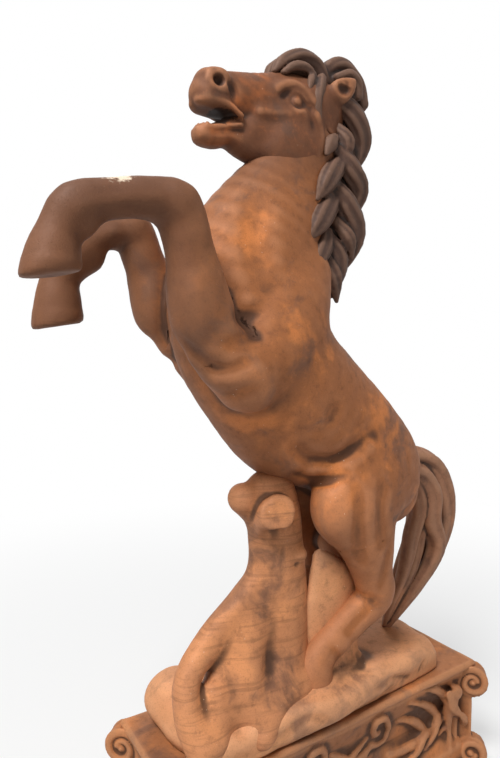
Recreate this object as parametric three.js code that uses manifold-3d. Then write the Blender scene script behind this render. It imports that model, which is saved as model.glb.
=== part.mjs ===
// A rearing horse in rusted cast iron. A tree stump carries its belly, its hind hooves stand on a rock slab,
// and the slab is bolted to a scrolled plinth. The statue is made as a foundry makes it: two hollow body
// shells bolted along the middle, solid legs saddled onto the shells with steel studs, and a cored base.
//
// Millimetres, +Z up. The horse faces -X and its left side is -Y. Forms are written with z = 0 at the top of
// the slab; at the end the whole statue is set so that its box stands on z = 0 with its middle at the origin.

import * as THREE from "three";
import { mergeVertices } from "three/addons/utils/BufferGeometryUtils.js";
import Module from "manifold-3d";

const wasm = await Module();
wasm.setup();

// Driving sizes of the base
const slabLength = 556;
const slabWidth = 206;
const slabHeight = 56;
const slabWall = 12;
const slabMiddle = -14;
const plateThickness = 14;
const plinthLength = 700;
const plinthWidth = 224;
const plinthHeight = 240;
const plinthWall = 11;
const voluteRadius = 34;
const footVoluteRadius = 36;
const scrollThickness = 34;
const scrollOut = 26;
const bandWidth = 17;
const stemBow = 6;
const voluteTurns = 1.25;
const volutePoints = 8;
const scrollWeb = 20;
const voluteWinding = 0.6;

// Driving sizes of the horse
const shellWall = 9;
const headWall = 10;
const stumpWall = 11;
const foreSpread = 92;
const hindSpread = 86;
const hoofSpread = 62;

// Joints and fasteners
const seam = 0.3;
const studRadius = 8;
const nutAcross = 14;
const nutHeight = 9;
const boltRadius = 5;
const boltHeadAcross = 9;
const boltHeadHeight = 7;
const lugRadius = 22;
const lugThickness = 9;
const bossRadius = 17;
const bossSides = 6;
const shankSides = 6;

const slabFoot = -slabHeight;
const plateTop = slabFoot - seam;
const plateFoot = plateTop - plateThickness;
const bodyTop = plateFoot - seam;
const floor = plateTop - plinthHeight;
const across = new THREE.Vector3(0, 1, 0);
const up = new THREE.Vector3(0, 0, 1);
const far = 4000;

// A point set off from another one.
function beside(point, offset) {
  return offset.map((v, i) => point[i] + v);
}

// Solids and geometry

function solidOf(geometry) {
  const bare = geometry.clone();
  bare.deleteAttribute("normal");
  bare.deleteAttribute("uv");
  const merged = mergeVertices(bare, 1e-3);
  return new wasm.Manifold(
    new wasm.Mesh({
      numProp: 3,
      vertProperties: new Float32Array(merged.attributes.position.array),
      triVerts: new Uint32Array(merged.index.array),
    }),
  );
}

function geometryOf(solid) {
  const mesh = solid.getMesh();
  const geometry = new THREE.BufferGeometry();
  geometry.setAttribute("position", new THREE.BufferAttribute(mesh.vertProperties, 3));
  geometry.setIndex(new THREE.BufferAttribute(mesh.triVerts, 1));
  return geometry;
}

function joined(...solids) {
  return solids.flat().reduce((whole, next) => whole.add(next));
}

function less(whole, ...cutters) {
  return cutters.flat().reduce((rest, cutter) => rest.subtract(cutter), whole);
}

// The same solid turned, moved or mirrored; a mirror image gets its triangles turned round.
function placed(solid, matrix) {
  const geometry = geometryOf(solid).applyMatrix4(matrix);
  if (matrix.determinant() < 0) geometry.index.array.reverse();
  return solidOf(geometry);
}

function mirrored(solid) {
  return placed(solid, new THREE.Matrix4().makeScale(1, -1, 1));
}

// A closed skin over rings of equally many points, ending in one point at each end.
function skin(rings, first, last) {
  const sides = rings[0].length;
  const positions = [...rings.flat(), first, last].flatMap((p) => p.toArray());
  const triangles = [];
  for (let r = 0; r < rings.length - 1; r++) {
    for (let i = 0; i < sides; i++) {
      const a = r * sides + i;
      const b = r * sides + ((i + 1) % sides);
      triangles.push(a, b, b + sides, a, b + sides, a + sides);
    }
  }
  const firstPoint = rings.length * sides;
  const rim = firstPoint - sides;
  for (let i = 0; i < sides; i++) {
    const next = (i + 1) % sides;
    triangles.push(firstPoint, next, i, firstPoint + 1, rim + i, rim + next);
  }
  const geometry = new THREE.BufferGeometry();
  geometry.setAttribute("position", new THREE.Float32BufferAttribute(positions, 3));
  geometry.setIndex(triangles);
  return solidOf(geometry);
}

// A sculpted form swept along a smooth line through its stations, domed at both ends. A station is
// [x, y, z, half its width, half its depth]; extra makes the whole form that much fuller all round.
function loft(stations, { sides = 10, steps = 1, lateral = across, tips = [0.7], extra = 0 } = {}) {
  const smooth = (points) => new THREE.CatmullRomCurve3(points, false, "catmullrom", 0.5);
  const line = smooth(stations.map(([x, y, z]) => new THREE.Vector3(x, y, z)));
  const girth = smooth(stations.map(([, , , wide, deep]) => new THREE.Vector3(wide + extra, deep + extra, 0)));
  const ring = (u, reach = 0) => {
    const along = line.getTangent(u);
    const size = girth.getPoint(u);
    const side = lateral.clone().addScaledVector(along, -lateral.dot(along)).normalize();
    const deep = new THREE.Vector3().crossVectors(along, side);
    const shrink = Math.sqrt(1 - reach * reach);
    const middle = line.getPoint(u).addScaledVector(along, reach * Math.min(size.x, size.y));
    return Array.from({ length: sides }, (_, i) => {
      const angle = (2 * Math.PI * i) / sides;
      return middle
        .clone()
        .addScaledVector(side, size.x * shrink * Math.cos(angle))
        .addScaledVector(deep, size.y * shrink * Math.sin(angle));
    });
  };
  const tip = (u, sign) => {
    const size = girth.getPoint(u);
    return line.getPoint(u).addScaledVector(line.getTangent(u), sign * Math.min(size.x, size.y));
  };
  const count = (stations.length - 1) * steps;
  const middles = Array.from({ length: count + 1 }, (_, i) => ring(i / count));
  const rings = [
    ...tips.map((reach) => ring(0, -reach)).reverse(),
    ...middles,
    ...tips.map((reach) => ring(1, reach)),
  ];
  return skin(rings, tip(0, -1), tip(1, 1));
}

// An ellipsoid muscle or boss.
function swelling([x, y, z], [rx, ry, rz], extra = 0, sides = 8) {
  const geometry = new THREE.SphereGeometry(1, sides, Math.round(sides * 0.6));
  geometry.scale(rx + extra, ry + extra, rz + extra);
  geometry.translate(x, y, z);
  return solidOf(geometry);
}

// A straight rod between two points.
function rod(from, to, radius, sides = shankSides) {
  const a = new THREE.Vector3(...from);
  const b = new THREE.Vector3(...to);
  const geometry = new THREE.CylinderGeometry(radius, radius, a.distanceTo(b), sides);
  const along = b.clone().sub(a).normalize();
  geometry.applyQuaternion(new THREE.Quaternion().setFromUnitVectors(across, along));
  geometry.translate(...a.add(b).multiplyScalar(0.5).toArray());
  return solidOf(geometry);
}

// The hole that clears a rod of the given radius by the seam, however the two are turned.
function bore(from, to, radius, sides = shankSides) {
  return rod(from, to, (radius + seam) / Math.cos(Math.PI / sides), sides);
}

// The point that lies the given way from one point towards another.
function towards(from, to, distance) {
  const a = new THREE.Vector3(...from);
  const along = new THREE.Vector3(...to).sub(a).normalize();
  return a.addScaledVector(along, distance).toArray();
}

function block(low, high) {
  const size = high.map((v, i) => v - low[i]);
  const geometry = new THREE.BoxGeometry(...size);
  geometry.translate(...low.map((v, i) => v + size[i] / 2));
  return solidOf(geometry);
}

// All the space that lies past a plane, starting the given way beyond it.
function beyond([x, y, z], [nx, ny, nz], shift = 0) {
  const geometry = new THREE.BoxGeometry(far, far, far);
  geometry.translate(0, 0, far / 2 + shift);
  geometry.applyQuaternion(new THREE.Quaternion().setFromUnitVectors(up, new THREE.Vector3(nx, ny, nz).normalize()));
  geometry.translate(x, y, z);
  return solidOf(geometry);
}

// Statue, materials and fasteners

const finishes = {
  hide: new THREE.MeshStandardMaterial({ color: 0x8f5c38, roughness: 0.72, metalness: 0.25 }),
  hair: new THREE.MeshStandardMaterial({ color: 0x5c4233, roughness: 0.75, metalness: 0.25 }),
  bark: new THREE.MeshStandardMaterial({ color: 0xb0744a, roughness: 0.8, metalness: 0.15 }),
  stone: new THREE.MeshStandardMaterial({ color: 0xbd8258, roughness: 0.82, metalness: 0.15 }),
  ornament: new THREE.MeshStandardMaterial({ color: 0xa0683f, roughness: 0.78, metalness: 0.2 }),
  steel: new THREE.MeshStandardMaterial({ color: 0x6d6862, roughness: 0.5, metalness: 0.8 }),
};
const statue = new THREE.Group();

function add(name, solid, finish) {
  const mesh = new THREE.Mesh(geometryOf(solid), finishes[finish].clone());
  mesh.name = name;
  statue.add(mesh);
}

// A hexagon-headed screw from the seat of its head to its tip.
function screw(seat, tip, radius = boltRadius) {
  const end = new THREE.Vector3(...tip);
  const under = new THREE.Vector3(...seat);
  const top = new THREE.Vector3(...towards(seat, tip, -boltHeadHeight));
  const turn = new THREE.Quaternion().setFromUnitVectors(up, end.clone().sub(under).normalize());
  const ring = (middle, reach) =>
    Array.from({ length: shankSides }, (_, i) => {
      const angle = (2 * Math.PI * i) / shankSides;
      return new THREE.Vector3(reach * Math.cos(angle), reach * Math.sin(angle), 0).applyQuaternion(turn).add(middle);
    });
  return skin([ring(top, boltHeadAcross), ring(under, boltHeadAcross), ring(under, radius), ring(end, radius)], top, end);
}

// A hexagon nut with its bore, seated just clear of its seat.
function hexNut(seat, outward, shank, width = boltHeadAcross, height = boltHeadHeight) {
  const ring = (radius, sides) =>
    Array.from({ length: sides }, (_, i) => {
      const angle = (2 * Math.PI * i) / sides;
      return new THREE.Vector2(radius * Math.cos(angle), radius * Math.sin(angle));
    });
  const shape = new THREE.Shape(ring(width, 6));
  shape.holes.push(new THREE.Path(ring((shank + seam) / Math.cos(Math.PI / shankSides), shankSides)));
  const geometry = new THREE.ExtrudeGeometry(shape, { depth: height, bevelEnabled: false });
  const along = new THREE.Vector3(...outward).sub(new THREE.Vector3(...seat)).normalize();
  geometry.applyQuaternion(new THREE.Quaternion().setFromUnitVectors(up, along));
  geometry.translate(...towards(seat, outward, seam));
  return solidOf(geometry);
}

// Trunk and neck, from the buttocks to the poll
const trunkLine = [
  [172, 0, 316, 78, 78],
  [139, 0, 366, 101, 105],
  [89, 0, 410, 108, 115],
  [31, 0, 452, 110, 125],
  [-45, 0, 494, 118, 142],
  [-104, 0, 546, 122, 143],
  [-153, 0, 634, 117, 138],
  [-154, 0, 719, 101, 132],
  [-126, 0, 796, 82, 126],
  [-84, 0, 874, 62, 108],
  [-50, 0, 940, 50, 84],
  [-20, 0, 998, 45, 66],
  [2, 0, 1044, 42, 54],
];
const trunkShape = { sides: 12 };
const cavityShape = { sides: 8, tips: [] };
const nearElbow = [-212, -foreSpread, 556, 44, 54];
const farElbow = [-192, foreSpread - 4, 562, 42, 48];
const stifle = [-20, -hindSpread + 1, 314, 44, 62];

function shoulder(elbow, extra) {
  const side = Math.sign(elbow[1]);
  const line = [[-50, side * 44, 736, 36, 44], [-98, side * 70, 672, 44, 62], [-160, side * 84, 597, 46, 68]];
  return loft([...line, elbow], { sides: 8, extra });
}

function haunch(extra) {
  const line = [[150, -48, 336, 52, 74], [100, -66, 346, 56, 94], [35, -hindSpread + 4, 334, 52, 88]];
  return loft([...line, stifle], { sides: 8, extra });
}

function bodyForm(extra = 0) {
  const trunk = loft(trunkLine, { ...trunkShape, extra });
  const thigh = haunch(extra);
  return joined(trunk, shoulder(nearElbow, extra), shoulder(farElbow, extra), thigh, mirrored(thigh));
}

// Legs

// Each leg is one line of stations, from inside the body to below the sole.
const within = ([x, y, z, wide, deep]) => [x, y, z, wide - 8, deep - 8];
const nearForelegLine = [
  within(nearElbow),
  [-268, -foreSpread - 4, 606, 43, 48],
  [-299, -foreSpread - 6, 682, 39, 45],
  [-316, -foreSpread - 8, 750, 33, 36],
  [-334, -foreSpread - 8, 796, 36, 37],
  [-376, -foreSpread - 8, 804, 29, 30],
  [-428, -foreSpread - 8, 795, 25, 28],
  [-474, -foreSpread - 8, 780, 28, 31],
  [-495, -foreSpread - 8, 746, 26, 29],
  [-503, -foreSpread - 8, 716, 32, 35],
  [-508, -foreSpread - 8, 670, 37, 42],
];
const farForelegLine = [
  within(farElbow),
  [-236, foreSpread - 2, 618, 40, 45],
  [-284, foreSpread, 701, 37, 42],
  [-308, foreSpread, 760, 33, 35],
  [-326, foreSpread, 796, 35, 36],
  [-364, foreSpread, 796, 29, 30],
  [-406, foreSpread, 776, 25, 27],
  [-438, foreSpread, 746, 27, 29],
  [-449, foreSpread, 704, 27, 29],
  [-451, foreSpread, 674, 33, 36],
  [-452, foreSpread, 612, 38, 42],
];
const hindlegLine = [
  [18, -hindSpread - 1, 316, 50, 74],
  [50, -hindSpread, 246, 43, 53],
  [72, -hindSpread + 3, 184, 34, 41],
  [82, -hindSpread + 7, 138, 32, 38],
  [43, (-hindSpread - hoofSpread) / 2, 108, 28, 33],
  [-6, -hoofSpread - 6, 76, 27, 32],
  [-40, -hoofSpread - 2, 48, 29, 33],
  [-54, -hoofSpread, 22, 35, 38],
  [-62, -hoofSpread, -24, 40, 44],
];

// A leg is cut flat at its sole; a knee or hock and a fetlock stand out from it.
function legForm(line, joints, ground, extra) {
  const swellings = joints.map(([at, size, sides]) => swelling(at, size, extra, sides));
  return joined(loft(line, { sides: 8, extra }), swellings).subtract(ground);
}

function foreleg(line, sole, extra) {
  const joints = [
    [beside(line[4], [-2, 0, 8]), [32, 33, 30]],
    [beside(line[7], [8, 0, -18]), [19, 20, 22], 6],
  ];
  const aheadOfKnee = beyond([-380, 0, 0], [-1, 0, 0]);
  return legForm(line, joints, beyond(sole, [0.17, 0, -1], extra).intersect(aheadOfKnee), extra);
}

function nearForeleg(extra = 0) {
  return foreleg(nearForelegLine, [-507, 0, 690], extra);
}

function farForeleg(extra = 0) {
  return foreleg(farForelegLine, [-452, 0, 636], extra);
}

function hindleg(extra = 0) {
  const hock = [[100, -hindSpread + 7, 150], [20, 18, 30], 6];
  return legForm(hindlegLine, [hock], beyond([0, 0, seam], [0, 0, -1], extra), extra);
}

// Head

const face = [
  [0, 0, 1040, 42, 50],
  [-50, 0, 1030, 46, 66],
  [-105, 0, 1024, 42, 56],
  [-155, 0, 1025, 36, 42],
  [-200, 0, 1022, 32, 36],
  [-222, 0, 1018, 33, 34],
  [-230, 0, 1015, 31, 30],
];
const lowerJaw = [
  [-85, 0, 935, 36, 36],
  [-130, 0, 935, 31, 31],
  [-165, 0, 946, 26, 24],
  [-196, 0, 951, 23, 15],
  [-222, 0, 943, 23, 19],
  [-245, 0, 950, 19, 13],
];
const headJoint = [-20, 0, 998];
const neckWay = [0.52, 0, 0.855];
const eye = [-75, 41, 1038];
const onBothSides = ([x, y, z]) => [[x, -y, z], [x, y, z]];

function neckTop(extra) {
  return loft(trunkLine, { ...trunkShape, extra }).subtract(beyond(headJoint, neckWay.map((v) => -v), 0));
}

function earForm(extra) {
  const line = [[4, -36, 1044, 13, 15], [18, -48, 1056, 13, 20], [38, -56, 1068, 10, 18], [52, -61, 1078, 5, 8]];
  const scoop = [[16, -58, 1066, 7, 10], [32, -66, 1078, 7, 13], [52, -72, 1090, 6, 9]];
  return loft(line, { sides: 6, extra }).subtract(loft(scoop, { sides: 4, tips: [], extra: -extra }));
}

function headForm(extra = 0) {
  const cheeks = swelling([-60, 0, 966], [62, 54, 66], extra);
  const lipCorners = swelling([-154, 0, 978], [26, 31, 15], extra, 6);
  const eyes = onBothSides(eye).map((at) => swelling(at, [15, 9, 12], extra));
  const nostrilRims = onBothSides([-218, 24, 1030]).map((at) => swelling(at, [19, 14, 18], extra, 6));
  const ear = earForm(extra);
  return joined(
    loft(face, { sides: 8, extra }),
    loft(lowerJaw, { sides: 8, extra }),
    neckTop(extra),
    cheeks,
    lipCorners,
    eyes,
    nostrilRims,
    ear,
    mirrored(ear),
  );
}

function headCavity() {
  const brain = face.slice(0, 4);
  return joined(loft(brain, { sides: 6, tips: [], extra: -headWall - 8 }), loft(trunkLine, { ...cavityShape, extra: -headWall }));
}

// Mane, forelock and tail

const maneRope = [
  [34, 0, 1096, 26, 32],
  [66, 0, 1106, 32, 38],
  [84, 0, 1054, 34, 37],
  [86, 0, 994, 35, 37],
  [77, 0, 929, 37, 38],
  [63, 0, 859, 40, 43],
  [42, 0, 794, 40, 42],
  [18, 0, 739, 32, 34],
  [6, 0, 702, 18, 20],
];
const frontLocks = [
  [[38, -34, 955, 12, 16], [2, -50, 913, 17, 24], [-30, -58, 862, 6, 9]],
  [[16, -40, 878, 12, 18], [-26, -60, 838, 17, 24], [-56, -70, 792, 6, 9]],
  [[2, -40, 800, 12, 17], [-26, -64, 762, 16, 22], [-44, -74, 722, 6, 9]],
];
const rearLocks = [
  [[46, -28, 1062, 14, 20], [80, -38, 1004, 20, 27], [98, -24, 920, 8, 10]],
  [[40, -34, 950, 16, 22], [68, -46, 878, 23, 32], [76, -30, 790, 8, 11]],
  [[16, -38, 846, 16, 20], [44, -46, 776, 22, 28], [34, -32, 700, 8, 11]],
];
const forelockRise = [
  [-92, 0, 1080, 16, 9],
  [-70, 0, 1106, 24, 19],
  [-36, 0, 1120, 28, 24],
  [0, 0, 1110, 28, 26],
  [22, 0, 1080, 20, 20],
];

function forelockForm(extra) {
  const strand = [[-86, -8, 1084, 8, 8], [-62, -16, 1112, 10, 14], [-32, -16, 1130, 10, 14], [-2, -14, 1120, 9, 12]];
  const left = loft(strand, { sides: 4, tips: [], extra });
  return joined(loft(forelockRise, { sides: 6, extra }), left, mirrored(left));
}

function maneForm(extra = 0) {
  const locks = [...frontLocks, ...rearLocks].map((lock) => loft(lock, { sides: 4, tips: [], extra }));
  return joined(loft(maneRope, { sides: 6, tips: [], extra }), locks, locks.map(mirrored), forelockForm(extra));
}

const tailLine = [
  [222, 0, 368, 26, 30],
  [284, 0, 350, 34, 34],
  [334, 0, 306, 39, 40],
  [342, 0, 248, 41, 43],
  [316, 0, 180, 40, 43],
  [262, 0, 114, 32, 33],
  [215, 0, 52, 22, 23],
  [192, 0, 4, 13, 14],
];
const tailStrands = 3;
const tailTwist = 2.4;

function tailForm(extra = 0) {
  const strand = (k) => {
    const line = tailLine.slice(1).map(([x, y, z, wide, deep], i) => {
      const turn = (2 * Math.PI * (k + 0.5)) / tailStrands + (tailTwist * i) / tailLine.length;
      return [x + 0.55 * deep * Math.cos(turn), y + 0.6 * wide * Math.sin(turn), z, 0.52 * wide, 0.6 * deep];
    });
    return loft(line, { sides: 5, tips: [], extra });
  };
  const strands = Array.from({ length: tailStrands }, (_, k) => strand(k));
  const core = tailLine.map(([x, y, z, wide, deep]) => [x, y, z, 0.88 * wide, 0.88 * deep]);
  return joined(loft(core, { sides: 6, tips: [], extra }), strands);
}

// Tree stump: trunk, cut branches and the root that arches over to the slab's end

const stumpTrunk = [
  [-108, -12, -4, 82, 86],
  [-104, -12, 44, 66, 70],
  [-98, -12, 120, 54, 58],
  [-98, -10, 250, 48, 52],
  [-104, -9, 310, 46, 52],
  [-112, -8, 352, 42, 50],
];
const archedRoot = [
  [-128, -14, 180, 30, 36],
  [-182, -18, 150, 27, 30],
  [-238, -24, 118, 24, 26],
  [-278, -36, 74, 24, 26],
  [-284, -50, 26, 26, 28],
  [-280, -60, -10, 30, 30],
];
const leftStub = [[-116, -6, 316, 34, 36], [-150, -8, 334, 30, 30], [-172, -10, 344, 26, 24]];
const cutBranch = [[-122, -20, 300, 34, 34], [-130, -44, 314, 33, 34], [-138, -66, 326, 33, 33]];
const knot = [-62, -50, 214];

function stumpForm(extra = 0) {
  const branchCut = beyond([-137, -62, 322], [-0.3, -0.9, 0.35], extra);
  return joined(
    loft(stumpTrunk, { sides: 10, extra }),
    loft(archedRoot, { sides: 8, extra }),
    loft(leftStub, { sides: 6, extra }),
    loft(cutBranch, { sides: 7, extra }).subtract(branchCut),
    swelling(knot, [17, 14, 16], extra, 6),
  ).subtract(beyond([0, 0, slabFoot / 2], [0, 0, -1]));
}

// Rock slab, with a boulder at its left end and a spur between the stump and the near hind leg

function slabRing(scale, z, extra, sides = 16) {
  const corner = 2 / 4.5;
  return Array.from({ length: sides }, (_, i) => {
    const angle = (2 * Math.PI * i) / sides;
    const rough = 1 + 0.012 * Math.sin(3 * angle + 1) + 0.014 * Math.sin(5 * angle);
    const along = Math.sign(Math.cos(angle)) * Math.abs(Math.cos(angle)) ** corner;
    const wide = Math.sign(Math.sin(angle)) * Math.abs(Math.sin(angle)) ** corner;
    const reach = scale * rough;
    return new THREE.Vector3(
      slabMiddle + along * (reach * slabLength * 0.5 + extra),
      wide * (reach * slabWidth * 0.5 + extra),
      z,
    );
  });
}

function slabForm(extra = 0) {
  const rings = [
    slabRing(0.98, slabFoot - extra, extra),
    slabRing(1, -20 + extra, extra),
    slabRing(0.965, -7 + extra, extra),
    slabRing(0.88, extra, extra),
  ];
  const centre = (z) => new THREE.Vector3(slabMiddle, 0, z);
  const boulder = swelling([slabMiddle - 0.464 * slabLength, 0.32 * slabWidth, -16], [50, 40, 44], extra);
  const ledge = swelling([slabMiddle - 0.245 * slabLength, -0.408 * slabWidth, -22], [86, 24, 26], extra, 6);
  const spurLine = [[-22, -34, -10, 38, 76], [-12, -38, 84, 28, 58], [-18, -42, 150, 20, 36], [-28, -44, 200, 11, 15], [-30, -45, 224, 6, 8]];
  const spur = loft(spurLine, { sides: 6, extra });
  const whole = joined(skin(rings, centre(slabFoot - extra), centre(extra)), boulder, ledge, spur);
  return whole.subtract(beyond([0, 0, slabFoot], [0, 0, -1], extra));
}

// The slab is open below; its hollow follows the edge with fewer corners.
function slabHollow() {
  const ring = (scale, z) => slabRing(scale, z, -slabWall, 8);
  const rings = [ring(1, slabFoot - 10), ring(0.97, -slabWall - 8), ring(0.9, -slabWall)];
  return skin(rings, new THREE.Vector3(slabMiddle, 0, slabFoot - 10), new THREE.Vector3(slabMiddle, 0, -slabWall));
}

// Plinth: flat top plate, waisted box and four corner scrolls

function boxRing(halfLength, halfWidth, z, corner = 14) {
  const cornerSteps = 1;
  const quadrant = (signX, signY, from) =>
    Array.from({ length: cornerSteps + 1 }, (_, i) => {
      const angle = from + (Math.PI / 2) * (i / cornerSteps);
      const x = signX * (halfLength - corner) + corner * Math.cos(angle);
      return new THREE.Vector3(x, signY * (halfWidth - corner) + corner * Math.sin(angle), z);
    });
  return [
    ...quadrant(1, 1, 0),
    ...quadrant(-1, 1, Math.PI / 2),
    ...quadrant(-1, -1, Math.PI),
    ...quadrant(1, -1, 1.5 * Math.PI),
  ];
}

function waisted(profile, extra) {
  const rings = profile.map(([inset, z]) => boxRing(plinthLength / 2 - inset + extra, plinthWidth / 2 - inset + extra, z));
  const centre = (z) => new THREE.Vector3(0, 0, z);
  return skin(rings, centre(profile[0][1]), centre(profile.at(-1)[1]));
}

function plateForm() {
  return waisted([[4, plateFoot], [0, plateFoot + 4], [0, plateTop - 4], [4, plateTop]], 0);
}

const waistInset = 34;
const plinthProfile = [
  [0, floor],
  [0, floor + 26],
  [7, floor + 34],
  [8, floor + 62],
  [waistInset - 8, floor + 90],
  [waistInset, floor + 128],
  [waistInset - 8, floor + 172],
  [10, bodyTop - 12],
  [8, bodyTop],
];

function plinthForm(extra = 0) {
  return waisted(plinthProfile, extra);
}

function plinthHollow() {
  const inner = plinthProfile.map(([inset, z], i) => [inset, i === 0 ? z - 5 : i === plinthProfile.length - 1 ? z + 5 : z]);
  return waisted(inner, -plinthWall);
}

// The middle line of a volute, wound inwards from the stem side over the outer edge to its eye.
function voluteLine(radius, turns, points) {
  return Array.from({ length: points + 1 }, (_, i) => {
    const turn = i / points;
    const angle = Math.PI - 2 * Math.PI * turns * turn;
    const reach = radius * (1 - voluteWinding * turn);
    return new THREE.Vector3(reach * Math.cos(angle), reach * Math.sin(angle), bandWidth * (1 - 0.45 * turn));
  });
}

// One corner scroll: a band that curls outwards at its head and at its foot, with a round eye in each curl.
function scrollForm(signX, signY, extra = 0) {
  const head = new THREE.Vector2(scrollOut - voluteRadius, plateTop - voluteRadius - bandWidth / 2);
  const foot = new THREE.Vector2(scrollOut - footVoluteRadius, floor + footVoluteRadius + bandWidth / 2);
  const upper = voluteLine(voluteRadius, voluteTurns, volutePoints).map((p) => new THREE.Vector3(head.x + p.x, head.y + p.y, p.z));
  const lower = voluteLine(footVoluteRadius, voluteTurns, volutePoints).map((p) => new THREE.Vector3(foot.x + p.x, foot.y - p.y, p.z));
  const stem = [0.25, 0.5, 0.75].map((t) => {
    const a = lower[0];
    const b = upper[0];
    const bow = stemBow * Math.sin(Math.PI * t);
    return new THREE.Vector3(a.x + (b.x - a.x) * t - bow, a.y + (b.y - a.y) * t, bandWidth * (1 + 0.5 * Math.sin(Math.PI * t)));
  });
  const line = [...lower.reverse(), ...stem, ...upper];
  const edge = (sign) =>
    line.map((p, i) => {
      const before = line[Math.max(i - 1, 0)];
      const after = line[Math.min(i + 1, line.length - 1)];
      const normal = new THREE.Vector2(before.y - after.y, after.x - before.x).normalize();
      return new THREE.Vector2(p.x, p.y).addScaledVector(normal, sign * (p.z / 2 + extra));
    });
  const thickness = scrollThickness + 2 * extra;
  const band = new THREE.ExtrudeGeometry(new THREE.Shape([...edge(1), ...edge(-1).reverse()]), {
    depth: thickness,
    bevelEnabled: false,
  });
  band.translate(0, 0, -thickness / 2);
  const eyeOf = (centre, radius) => {
    const geometry = new THREE.CylinderGeometry(radius + extra, radius + extra, thickness + 4, 6);
    geometry.rotateX(Math.PI / 2);
    geometry.translate(centre.x, centre.y, 0);
    return solidOf(geometry);
  };
  const webFoot = foot.y + 0.5 * footVoluteRadius;
  const web = block([-64, -scrollWeb / 2 - extra, webFoot], [head.x, scrollWeb / 2 + extra, head.y]);
  const eyes = [eyeOf(head, voluteRadius * (1.06 - voluteWinding)), eyeOf(foot, footVoluteRadius * (1.06 - voluteWinding))];
  const upright = placed(joined(solidOf(band), eyes), new THREE.Matrix4().makeRotationX(Math.PI / 2));
  const outwards = new THREE.Matrix4().makeRotationZ(Math.atan2(signY, signX));
  outwards.setPosition((signX * plinthLength) / 2, (signY * plinthWidth) / 2, 0);
  return placed(joined(upright, web), outwards);
}

// Castings before they are drilled

const rockClear = slabForm(seam);
const bodyClear = bodyForm(seam);
const pastNeck = beyond(headJoint, neckWay);
const hindClear = hindleg(seam);
const lowerBodyClear = bodyClear.subtract(pastNeck);
const bodyInside = bodyForm(-2).subtract(pastNeck);
const headInside = headForm(-2);
const castings = {
  body: bodyForm().subtract(loft(trunkLine, { ...cavityShape, extra: -shellWall })).subtract(beyond(headJoint, neckWay, -seam)),
  head: less(headForm(), lowerBodyClear, headCavity().intersect(pastNeck)),
  stump: less(stumpForm(), bodyClear, rockClear, hindClear, mirrored(hindClear)),
  rock: slabForm().subtract(slabHollow()),
  plate: plateForm(),
  plinth: plinthForm().subtract(plinthHollow()),
};

// Thickens the body shell where a rod ends inside it, up to a flat seat, and drills the hole for the rod.
function seatInBody(from, to, radius, room) {
  const seat = towards(to, from, room);
  const boss = rod(seat, from, bossRadius, bossSides).intersect(bodyInside);
  castings.body = castings.body.add(boss).subtract(bore(from, to, radius));
  return seat;
}

// Legs, each drawn onto the body by a stud and a nut inside the shell

function fixLeg(name, solid, from, to) {
  const seat = seatInBody(from, to, studRadius, nutHeight + 4);
  add(name, solid.subtract(bore(towards(from, to, -seam), to, studRadius)), "hide");
  add(`${name}_stud`, rod(from, to, studRadius), "steel");
  add(`${name}_nut`, hexNut(seat, to, studRadius, nutAcross, nutHeight), "steel");
}

const dowelReach = 34;

function fixHindLeg(word, side) {
  const hoofMiddle = -58;
  const dowelTop = [hoofMiddle, side * hoofSpread, dowelReach];
  const dowelFoot = [hoofMiddle, side * hoofSpread, -dowelReach];
  const boss = rod([hoofMiddle, side * hoofSpread, -slabWall + 3], [hoofMiddle, side * hoofSpread, -dowelReach - 8], 15, bossSides);
  const hole = bore(towards(dowelTop, dowelFoot, -seam), towards(dowelFoot, dowelTop, -seam), boltRadius);
  const onLeft = less(hindleg(), bodyClear, rockClear);
  const stud = [[55, side * hindSpread, 222], [61, side * 52, 366]];
  fixLeg(`hind_leg_${word}`, (side < 0 ? onLeft : mirrored(onLeft)).subtract(hole), ...stud);
  castings.rock = castings.rock.add(boss).subtract(hole);
  add(`hoof_dowel_${word}`, rod(dowelTop, dowelFoot, boltRadius), "steel");
}

const nearStud = [[-280, -foreSpread - 4, 636], [-186, -62, 574]];
const farStud = [[-262, foreSpread - 2, 656], [-178, 60, 582]];
fixLeg("foreleg_left", nearForeleg().subtract(bodyClear), ...nearStud);
fixLeg("foreleg_right", farForeleg().subtract(bodyClear), ...farStud);
fixHindLeg("left", -1);
fixHindLeg("right", 1);

// Seam bolts through pairs of lugs inside the two body shells

const seamBolts = [
  ["loin", 86, 527],
  ["flank", -24, 376],
  ["girth", -190, 478],
  ["throat", -158, 902],
];

seamBolts.forEach(([name, x, z]) => {
  const reach = seam / 2 + lugThickness;
  const lugs = rod([x, -reach, z], [x, reach, z], lugRadius, bossSides).intersect(bodyInside);
  const hole = bore([x, -reach - 1, z], [x, reach + 1, z], boltRadius);
  castings.body = castings.body.add(lugs).subtract(hole);
  add(`seam_bolt_${name}`, screw([x, -reach - seam, z], [x, reach + boltHeadHeight + 4, z]), "steel");
  add(`seam_nut_${name}`, hexNut([x, reach, z], [x, 2 * reach, z], boltRadius), "steel");
});

// Head bolts through pairs of lugs across the neck joint

function alongNeck([x, y, z], distance) {
  return [x + neckWay[0] * distance, y, z + neckWay[2] * distance];
}

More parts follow.
